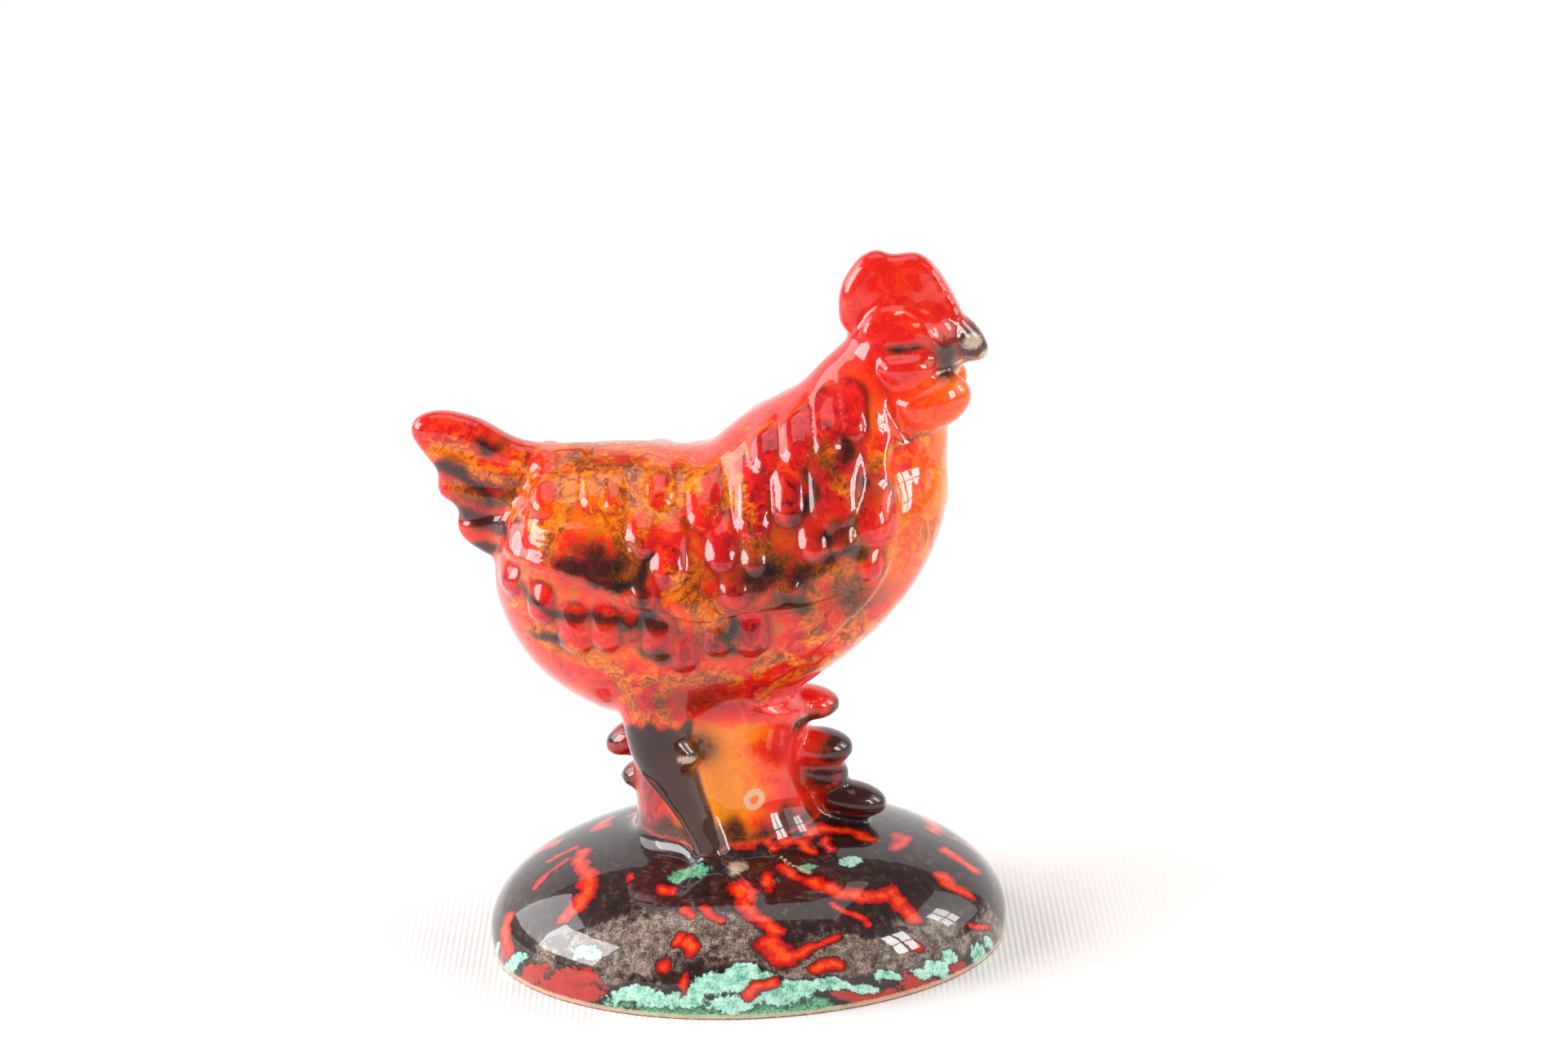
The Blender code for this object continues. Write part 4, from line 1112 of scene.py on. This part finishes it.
class Graph:
    """Short ways to add nodes to a material."""

    def __init__(self, name):
        self.material = bpy.data.materials.new(name)
        self.material.use_nodes = True
        self.tree = self.material.node_tree
        self.shader = self.tree.nodes["Principled BSDF"]

    def add(self, kind, **settings):
        node = self.tree.nodes.new(kind)
        for key, value in settings.items():
            setattr(node, key, value)
        return node

    def put(self, socket, value):
        if isinstance(value, bpy.types.NodeSocket):
            self.tree.links.new(value, socket)
        else:
            socket.default_value = value

    def fill(self, node, inputs):
        """The node, with its inputs set to constants or to other nodes' outputs."""
        for key, value in inputs.items():
            self.put(node.inputs[key], value)
        return node

    def place(self):
        """The point's place on the object, in metres."""
        return self.add("ShaderNodeTexCoord").outputs["Object"]

    def field(self, name):
        """An amount that paint() stored."""
        return self.add("ShaderNodeAttribute", attribute_name=name).outputs["Fac"]

    def math(self, operation, a, b=0.0):
        node = self.add("ShaderNodeMath", operation=operation)
        return self.fill(node, {0: a, 1: b}).outputs[0]

    def total(self, *terms):
        """The sum of the terms. A pair is a value and its factor."""
        result = 0.0
        for term in terms:
            value = self.math("MULTIPLY", *term) if isinstance(term, tuple) else term
            result = self.math("ADD", result, value)
        return result

    def swing(self, value, amount):
        """A noise value moved to lie round 0, times an amount."""
        return self.math("MULTIPLY", self.math("SUBTRACT", value, 0.5), amount)

    def ease(self, value, low, high):
        """0 below low, 1 above high, and smooth between."""
        node = self.add("ShaderNodeMapRange", interpolation_type="SMOOTHSTEP")
        return self.fill(node, {"Value": value, "From Min": low, "From Max": high}).outputs["Result"]

    def vector(self, operation, a, b):
        node = self.add("ShaderNodeVectorMath", operation=operation)
        return self.fill(node, {0: a, "Scale" if operation == "SCALE" else 1: b}).outputs[0]

    def noise(self, place, scale, detail, roughness=0.55, distortion=0.0, output="Fac"):
        inputs = {"Vector": place, "Scale": scale, "Detail": detail}
        inputs |= {"Roughness": roughness, "Distortion": distortion}
        return self.fill(self.add("ShaderNodeTexNoise"), inputs).outputs[output]

    def bump(self, height, strength):
        """The normal of a surface with that height on it."""
        inputs = {"Height": height, "Strength": strength, "Distance": BUMP_HEIGHT}
        return self.fill(self.add("ShaderNodeBump"), inputs).outputs["Normal"]

    def mix(self, share, a, b):
        node = self.add("ShaderNodeMix", data_type="RGBA")
        return self.fill(node, {"Factor": share, 6: a, 7: b}).outputs[2]

    def cover(self, under, over, field, low, high, most=1.0):
        """The colour under, covered by the colour over where the field rises from low to high."""
        return self.mix(self.math("MULTIPLY", self.ease(field, low, high), most), under, over)

    def ramp(self, value, stops):
        """A colour read from stops, each a value from 0 to 1 and its colour in sRGB."""
        node = self.fill(self.add("ShaderNodeValToRGB"), {0: value})
        elements = node.color_ramp.elements
        while len(elements) < len(stops):
            elements.new(0.5)
        for element, (place, *colour) in zip(elements, stops):
            element.position = place
            element.color = srgb(*colour)
        return node.outputs["Color"]


def srgb(red, green, blue):
    """A colour given as 0 to 255 in sRGB, as the shader takes it."""
    made = []
    for value in (red, green, blue):
        share = value / 255
        made.append(share / 12.92 if share <= 0.04045 else ((share + 0.055) / 1.055) ** 2.4)
    return (*made, 1.0)


# Ramps of the glazes' colours: (value, red, green, blue)
SHADES = (
    (0.00, 104, 0, 10), (0.16, 178, 4, 12), (0.34, 216, 20, 10),
    (0.52, 234, 52, 4), (0.74, 246, 100, 0), (1.00, 250, 150, 10),
)
OCHRES = ((0.15, 52, 30, 4), (0.38, 134, 66, 2), (0.56, 222, 94, 0), (0.84, 250, 150, 4))
DARKS = ((0.30, 18, 9, 8), (0.50, 50, 22, 10), (0.68, 104, 44, 8), (0.90, 158, 70, 8))
CHARCOALS = ((0.26, 26, 10, 10), (0.54, 46, 24, 21), (0.84, 78, 54, 44))
VEIN_REDS = ((0.30, 112, 8, 12), (0.52, 178, 18, 14), (0.80, 214, 38, 14), (1.00, 238, 82, 22))
JADES = ((0.26, 48, 110, 84), (0.42, 122, 190, 160), (0.62, 190, 230, 214))
GREENS = ((0.32, 24, 78, 50), (0.48, 74, 152, 108), (0.68, 130, 198, 154))
ASHES = ((0.30, 48, 34, 30), (0.50, 114, 96, 84), (0.72, 184, 168, 148))
RUSTS = ((0.30, 150, 26, 24), (0.70, 192, 50, 40))
CLAYS = ((0.3, 196, 176, 146), (0.7, 226, 210, 184))
CREAM = srgb(214, 192, 160)
# Dark crimson for the drops' outlines: pooled glaze and painted shade
POOLED_CRIMSON_AND_SHADE = srgb(104, 8, 14)
INK = srgb(20, 12, 13)
CLOTH = srgb(244, 242, 240)
BACKDROP = srgb(248, 249, 250)

# Surfaces
GLAZE_ROUGHNESS = 0.32
WORN_ROUGHNESS = 0.25
GLAZE_SPECULAR = 0.15
COAT_ROUGHNESS = 0.02
COAT_IOR = 1.5
PEEL = 0.2
CLAY_ROUGHNESS = 0.85
CLOTH_ROUGHNESS = 0.9
RIB_PITCH = 0.0013
RIB_BUMP = 0.25
BUMP_HEIGHT = 0.0002

# The swirls of the flowing glaze: (scale per millimetre, push in millimetres)
SWIRLS = ((0.11, 24.0), (0.42, 5.0))


def flow(g, mm):
    """Places pushed about by a slow and a quick swirl, because the glaze has flowed."""
    pushes = []
    for scale, amount in SWIRLS:
        colour = g.noise(mm, scale, detail=2.0, output="Color")
        pushes.append(g.vector("SCALE", g.vector("SUBTRACT", colour, (0.5, 0.5, 0.5)), amount))
    return g.vector("ADD", mm, g.vector("ADD", *pushes))


def body_colours(g, mm):
    """The run glazes: reds and oranges with ochre streams and dark pools."""
    run = flow(g, mm)
    marble = g.noise(run, 0.19, detail=3.0, roughness=0.50, distortion=0.8)
    drawn_out = g.vector("MULTIPLY", run, (1.0, 1.0, 0.40))
    fibre = g.noise(drawn_out, 0.75, detail=4.0, roughness=0.58, distortion=0.6)
    contour = g.field("contour")
    crown = g.ease(g.field("boss"), 0.10, 0.85)
    valley = g.math("MULTIPLY", g.ease(contour, 0.0, 0.8), g.total(1.0, (g.ease(contour, 2.2, 5.0), -1.0)))
    lively = g.total(1.0, (g.field("calm"), -0.70))

    # Thin bands that follow the outlines of the drops and the swirl
    phase = g.total((contour, 2.6), (marble, 26.0), (fibre, 7.0))
    band = g.math("SINE", phase)
    fine = g.math("SINE", g.total((phase, 2.3), (fibre, 9.0)))

    # Reds to oranges, redder on the feather drops and nearly even on the head and the stand
    shade = g.math("MULTIPLY", g.total(g.swing(marble, 1.10), g.swing(fibre, 0.28)), lively)
    shade = g.total(shade, g.field("shade"), (band, 0.05), (fine, 0.03), (valley, 0.16), (crown, -0.16))
    # Dark crimson round each drop's outline, in patches: partly glaze pooled at the edge, partly painted
    # shade that models the relief
    from_rim = g.math("ABSOLUTE", g.total(contour, -0.1))
    rim = g.total(0.80, (g.ease(from_rim, 0.0, 1.5), -0.80))
    colour = g.cover(g.ramp(shade, SHADES), POOLED_CRIMSON_AND_SHADE, marble, 0.34, 0.58, rim)

    # Ochre streams, streaked with red and olive
    ochre = g.total((g.field("ochre"), 1.05), (g.field("calm"), -0.30), (valley, 0.30), (crown, -0.34))
    ochre = g.total(ochre, g.swing(marble, 1.1), g.swing(fibre, 0.40), (band, 0.10), (fine, 0.06))
    tone = g.total(0.54, g.swing(fibre, 0.9), g.swing(marble, 1.2), (g.field("dark"), -0.45), (fine, 0.07))
    colour = g.cover(colour, g.ramp(tone, OCHRES), ochre, 0.20, 0.86, 0.95)

    # Dark pools and olive-brown smoke round them
    dark = g.math("MULTIPLY", g.total(g.swing(marble, 1.0), g.swing(fibre, 0.70)), lively)
    dark = g.total(dark, g.field("dark"), (band, 0.08), (valley, 0.10), (crown, -0.22))
    tone = g.total(1.00, g.swing(fibre, 1.1), (g.field("dark"), -0.68), (fine, 0.05))
    return g.cover(colour, g.ramp(tone, DARKS), dark, 0.10, 0.92, 0.96)


def mound_colours(g, mm, speckle):
    """The mound: charcoal, a speckled ash zone, and patches with dark outlines."""
    edge = g.noise(mm, 0.5, detail=5.0, roughness=0.64)
    crumbs = g.noise(mm, 1.3, detail=4.0, roughness=0.7)
    jagged = g.total(g.swing(edge, 1.0), g.swing(crumbs, 0.6))
    charcoal = g.ramp(g.total(0.5, g.swing(edge, 1.2)), CHARCOALS)
    ash = g.ramp(g.total(speckle, g.swing(edge, 0.9)), ASHES)
    colour = g.cover(charcoal, ash, g.total(g.field("ash"), jagged), 0.06, 0.54, 0.92)
    for name, colours, tone, border, fringe in (
        ("rust", RUSTS, edge, 0.44, 0.06),
        ("green", GREENS, g.total(speckle, g.swing(edge, 0.6)), 0.32, 0.20),
        ("jade", JADES, g.total(edge, g.swing(speckle, 0.9)), 0.36, 0.18),
        ("vein", VEIN_REDS, g.total(g.field("vein"), g.swing(edge, 1.3)), 0.27, 0.10),
    ):
        area = g.total(g.field(name), jagged)
        colour = g.cover(colour, INK, area, border - 0.10, border - 0.02, 0.85)
        colour = g.cover(colour, g.ramp(tone, colours), area, border, border + fringe)
    return colour


def glaze():
    """The glazes of the hen and the mound, worn in places, under one clear glossy coat."""
    g = Graph("run_glaze")
    mm = g.vector("SCALE", g.place(), 1 / MM)
    speckle = g.noise(mm, 2.2, detail=4.0, roughness=0.78)
    colour = g.cover(body_colours(g, mm), mound_colours(g, mm, speckle), g.field("ground"), 0.40, 0.60)
    worn = g.ease(g.total(g.field("cream"), g.swing(speckle, 1.2)), 0.48, 0.78)
    peel = g.bump(g.noise(mm, 0.22, detail=1.0), PEEL)
    inputs = {
        "Base Color": g.mix(g.math("MULTIPLY", worn, 0.70), colour, CREAM),
        "Roughness": g.total(GLAZE_ROUGHNESS, (worn, WORN_ROUGHNESS)),
        "Specular IOR Level": GLAZE_SPECULAR,
        "Coat Weight": 1.0,
        "Coat Roughness": COAT_ROUGHNESS,
        "Coat IOR": COAT_IOR,
        "Coat Normal": peel,
        "Normal": peel,
    }
    g.fill(g.shader, inputs)
    return g.material


def bare_clay():
    """The unglazed foot ring and the inside of the casting."""
    g = Graph("bare_clay")
    grain = g.noise(g.vector("SCALE", g.place(), 1 / MM), 2.5, detail=5.0, roughness=0.7)
    g.fill(g.shader, {"Base Color": g.ramp(grain, CLAYS), "Roughness": CLAY_ROUGHNESS})
    return g.material


def cloth():
    """The pale ribbed cloth that passes into a white backdrop."""
    g = Graph("ribbed_cloth")
    split = g.fill(g.add("ShaderNodeSeparateXYZ"), {0: g.place()})
    x, y = split.outputs["X"], split.outputs["Y"]
    far = g.ease(y, 0.10, 0.55)
    near = g.total(1.0, (g.ease(y, -0.06, 0.14), -1.0))
    ribs = g.math("SINE", g.math("MULTIPLY", x, 2 * math.pi / RIB_PITCH))
    inputs = {
        "Base Color": g.mix(far, CLOTH, BACKDROP),
        "Roughness": CLOTH_ROUGHNESS,
        "Normal": g.bump(g.math("MULTIPLY", ribs, near), RIB_BUMP),
    }
    g.fill(g.shader, inputs)

    # The backdrop glows where it is seen, also in reflections and through glass
    path = g.add("ShaderNodeLightPath")
    seen = g.math("MAXIMUM", path.outputs["Is Camera Ray"], path.outputs["Is Glossy Ray"])
    seen = g.math("MAXIMUM", seen, path.outputs["Is Transmission Ray"])
    glow = g.fill(g.add("ShaderNodeEmission"), {"Color": (1.0, 1.0, 1.0, 1.0)})
    shaders = {0: g.math("MULTIPLY", seen, far), 1: g.shader.outputs[0], 2: glow.outputs[0]}
    blend = g.fill(g.add("ShaderNodeMixShader"), shaders)
    g.put(g.tree.nodes["Material Output"].inputs["Surface"], blend.outputs[0])
    return g.material


# The photograph's camera: its place from the mound's centre, its tilt and its focal length
PHOTO_WIDTH = 1920
FOCAL_PIXELS = 4300
SENSOR_WIDTH = 36.0
CAMERA_PLACE = (0.0110, -0.6880, 0.3230)
CAMERA_PITCH = math.radians(18.5)
CAMERA_ROLL = math.radians(2.3)

# The cyclorama: its half width, its front edge, where its bend starts, the bend's radius and its top
SWEEP_HALF = 2.2
SWEEP_FRONT = -1.6
SWEEP_BEND = 0.9
SWEEP_RADIUS = 0.5
SWEEP_TOP = 1.6
SWEEP_STEPS = 12

# Lamps aim at the middle of the figure. A window is (name, place, width, height, columns, rows,
# radiance), and a wall of soft light (name, place, width, height, radiance, seen in reflections).
LAMP_TARGET = Vector((0.0, 0.0, 0.07))
WORLD_STRENGTH = 0.20
WINDOW_BAR = 0.022
WINDOWS = (
    ("left_window", (-0.95, -0.28, 0.46), 0.64, 0.56, 1, 1, 8.0),
    ("right_window", (0.85, -0.50, 0.42), 0.20, 0.44, 2, 2, 13.0),
    ("side_window", (1.10, 0.02, 0.55), 0.22, 0.40, 2, 2, 8.0),
)
WALLS = (
    ("left_wall", (-1.7, 0.5, 1.0), 1.2, 1.2, 3.0, True),
    ("right_wall", (1.6, 0.1, 0.8), 1.2, 1.1, 1.2, True),
    ("ceiling", (0.0, 0.1, 1.4), 1.2, 0.9, 1.15, True),
    ("front_fill", (0.0, -1.4, 0.9), 1.2, 0.8, 1.15, False),
)


def set_camera(shift):
    """The photograph's camera, moved along X with the figure."""
    data = bpy.data.cameras.new("camera")
    data.sensor_width = SENSOR_WIDTH
    data.lens = FOCAL_PIXELS / PHOTO_WIDTH * SENSOR_WIDTH
    camera = add_object("camera", data)
    tilt = Matrix.Rotation(math.pi / 2 - CAMERA_PITCH, 4, "X") @ Matrix.Rotation(-CAMERA_ROLL, 4, "Z")
    camera.matrix_world = Matrix.Translation(Vector(CAMERA_PLACE) + Vector((shift, 0, 0))) @ tilt
    bpy.context.scene.camera = camera


def area_light(name, place, turn, wide, high, radiance, glossy=True):
    data = bpy.data.lights.new(name, "AREA")
    data.shape = "RECTANGLE"
    data.size = wide
    data.size_y = high
    data.energy = 4 * radiance * wide * high
    light = add_object(name, data)
    light.location = place
    light.rotation_euler = turn.to_euler()
    light.visible_glossy = glossy


def towards_target(place):
    """The turn that aims a lamp at the middle of the figure."""
    return (LAMP_TARGET - Vector(place)).to_track_quat("-Z", "Y")


def window(name, place, wide, high, columns, rows, radiance):
    """A window as panes of light with dark bars between them."""
    pane_wide = (wide - WINDOW_BAR * (columns - 1)) / columns
    pane_high = (high - WINDOW_BAR * (rows - 1)) / rows
    turn = towards_target(place)
    for column in range(columns):
        for row in range(rows):
            across = (column - (columns - 1) / 2) * (pane_wide + WINDOW_BAR)
            up = (row - (rows - 1) / 2) * (pane_high + WINDOW_BAR)
            spot = Vector(place) + turn @ Vector((across, up, 0))
            area_light(f"{name}_{column}{row}", spot, turn, pane_wide, pane_high, radiance)


def cyclorama():
    """The floor with the cloth on it, bent up into the backdrop."""
    profile = [(SWEEP_FRONT, 0.0), (SWEEP_BEND, 0.0)]
    for k in range(1, SWEEP_STEPS + 1):
        angle = math.pi / 2 * k / SWEEP_STEPS
        back = SWEEP_BEND + SWEEP_RADIUS * math.sin(angle)
        profile.append((back, SWEEP_RADIUS - SWEEP_RADIUS * math.cos(angle)))
    profile.append((SWEEP_BEND + SWEEP_RADIUS, SWEEP_TOP))

    def build(bm):
        near = [bm.verts.new((-SWEEP_HALF, y, z)) for y, z in profile]
        far = [bm.verts.new((SWEEP_HALF, y, z)) for y, z in profile]
        for i in range(len(profile) - 1):
            bm.faces.new((near[i], far[i], far[i + 1], near[i + 1]))

    sweep = add_object("cyclorama", mesh_of("cyclorama", build))
    sweep.data.polygons.foreach_set("use_smooth", [True] * len(sweep.data.polygons))
    sweep.data.materials.append(cloth())
    return sweep


def studio():
    """A pale cyclorama, windows and pale walls at the sides, and soft light from above."""
    scene = bpy.context.scene
    scene.view_settings.view_transform = "Standard"
    world = bpy.data.worlds.new("studio")
    world.use_nodes = True
    background = world.node_tree.nodes["Background"]
    background.inputs["Color"].default_value = (1.0, 1.0, 1.0, 1.0)
    background.inputs["Strength"].default_value = WORLD_STRENGTH
    scene.world = world
    cyclorama()
    for row in WINDOWS:
        window(*row)
    for name, place, *rest in WALLS:
        area_light(name, place, towards_target(place), *rest)


def figure():
    """The casting at full detail, cut as the CAD part is, and how far it was moved along X."""
    skin = outer_skin()
    shift = -middle_x(skin)
    paint(skin)
    skin.materials.append(glaze())
    clay = bare_clay()
    obj = add_object("glazed_hen", skin)
    tools = []
    for mesh in cutters():
        mesh.materials.append(clay)
        cutter = add_object(mesh.name, mesh)
        tools.append(cutter)
        cut = obj.modifiers.new("Cut " + cutter.name, "BOOLEAN")
        cut.operation = "DIFFERENCE"
        cut.solver = "EXACT"
        cut.material_mode = "TRANSFER"
        cut.object = cutter
    bpy.context.view_layer.update()
    mesh = baked(obj)
    for cutter in tools:
        bpy.data.objects.remove(cutter, do_unlink=True)
    mesh.transform(Matrix.Translation((shift, 0, 0)))
    mesh.polygons.foreach_set("use_smooth", [True] * len(mesh.polygons))
    return add_object("glazed_hen", mesh), shift


def main():
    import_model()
    hen, shift = figure()
    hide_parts(NODE)
    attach(hen, "root")
    studio()
    set_camera(shift)


main()
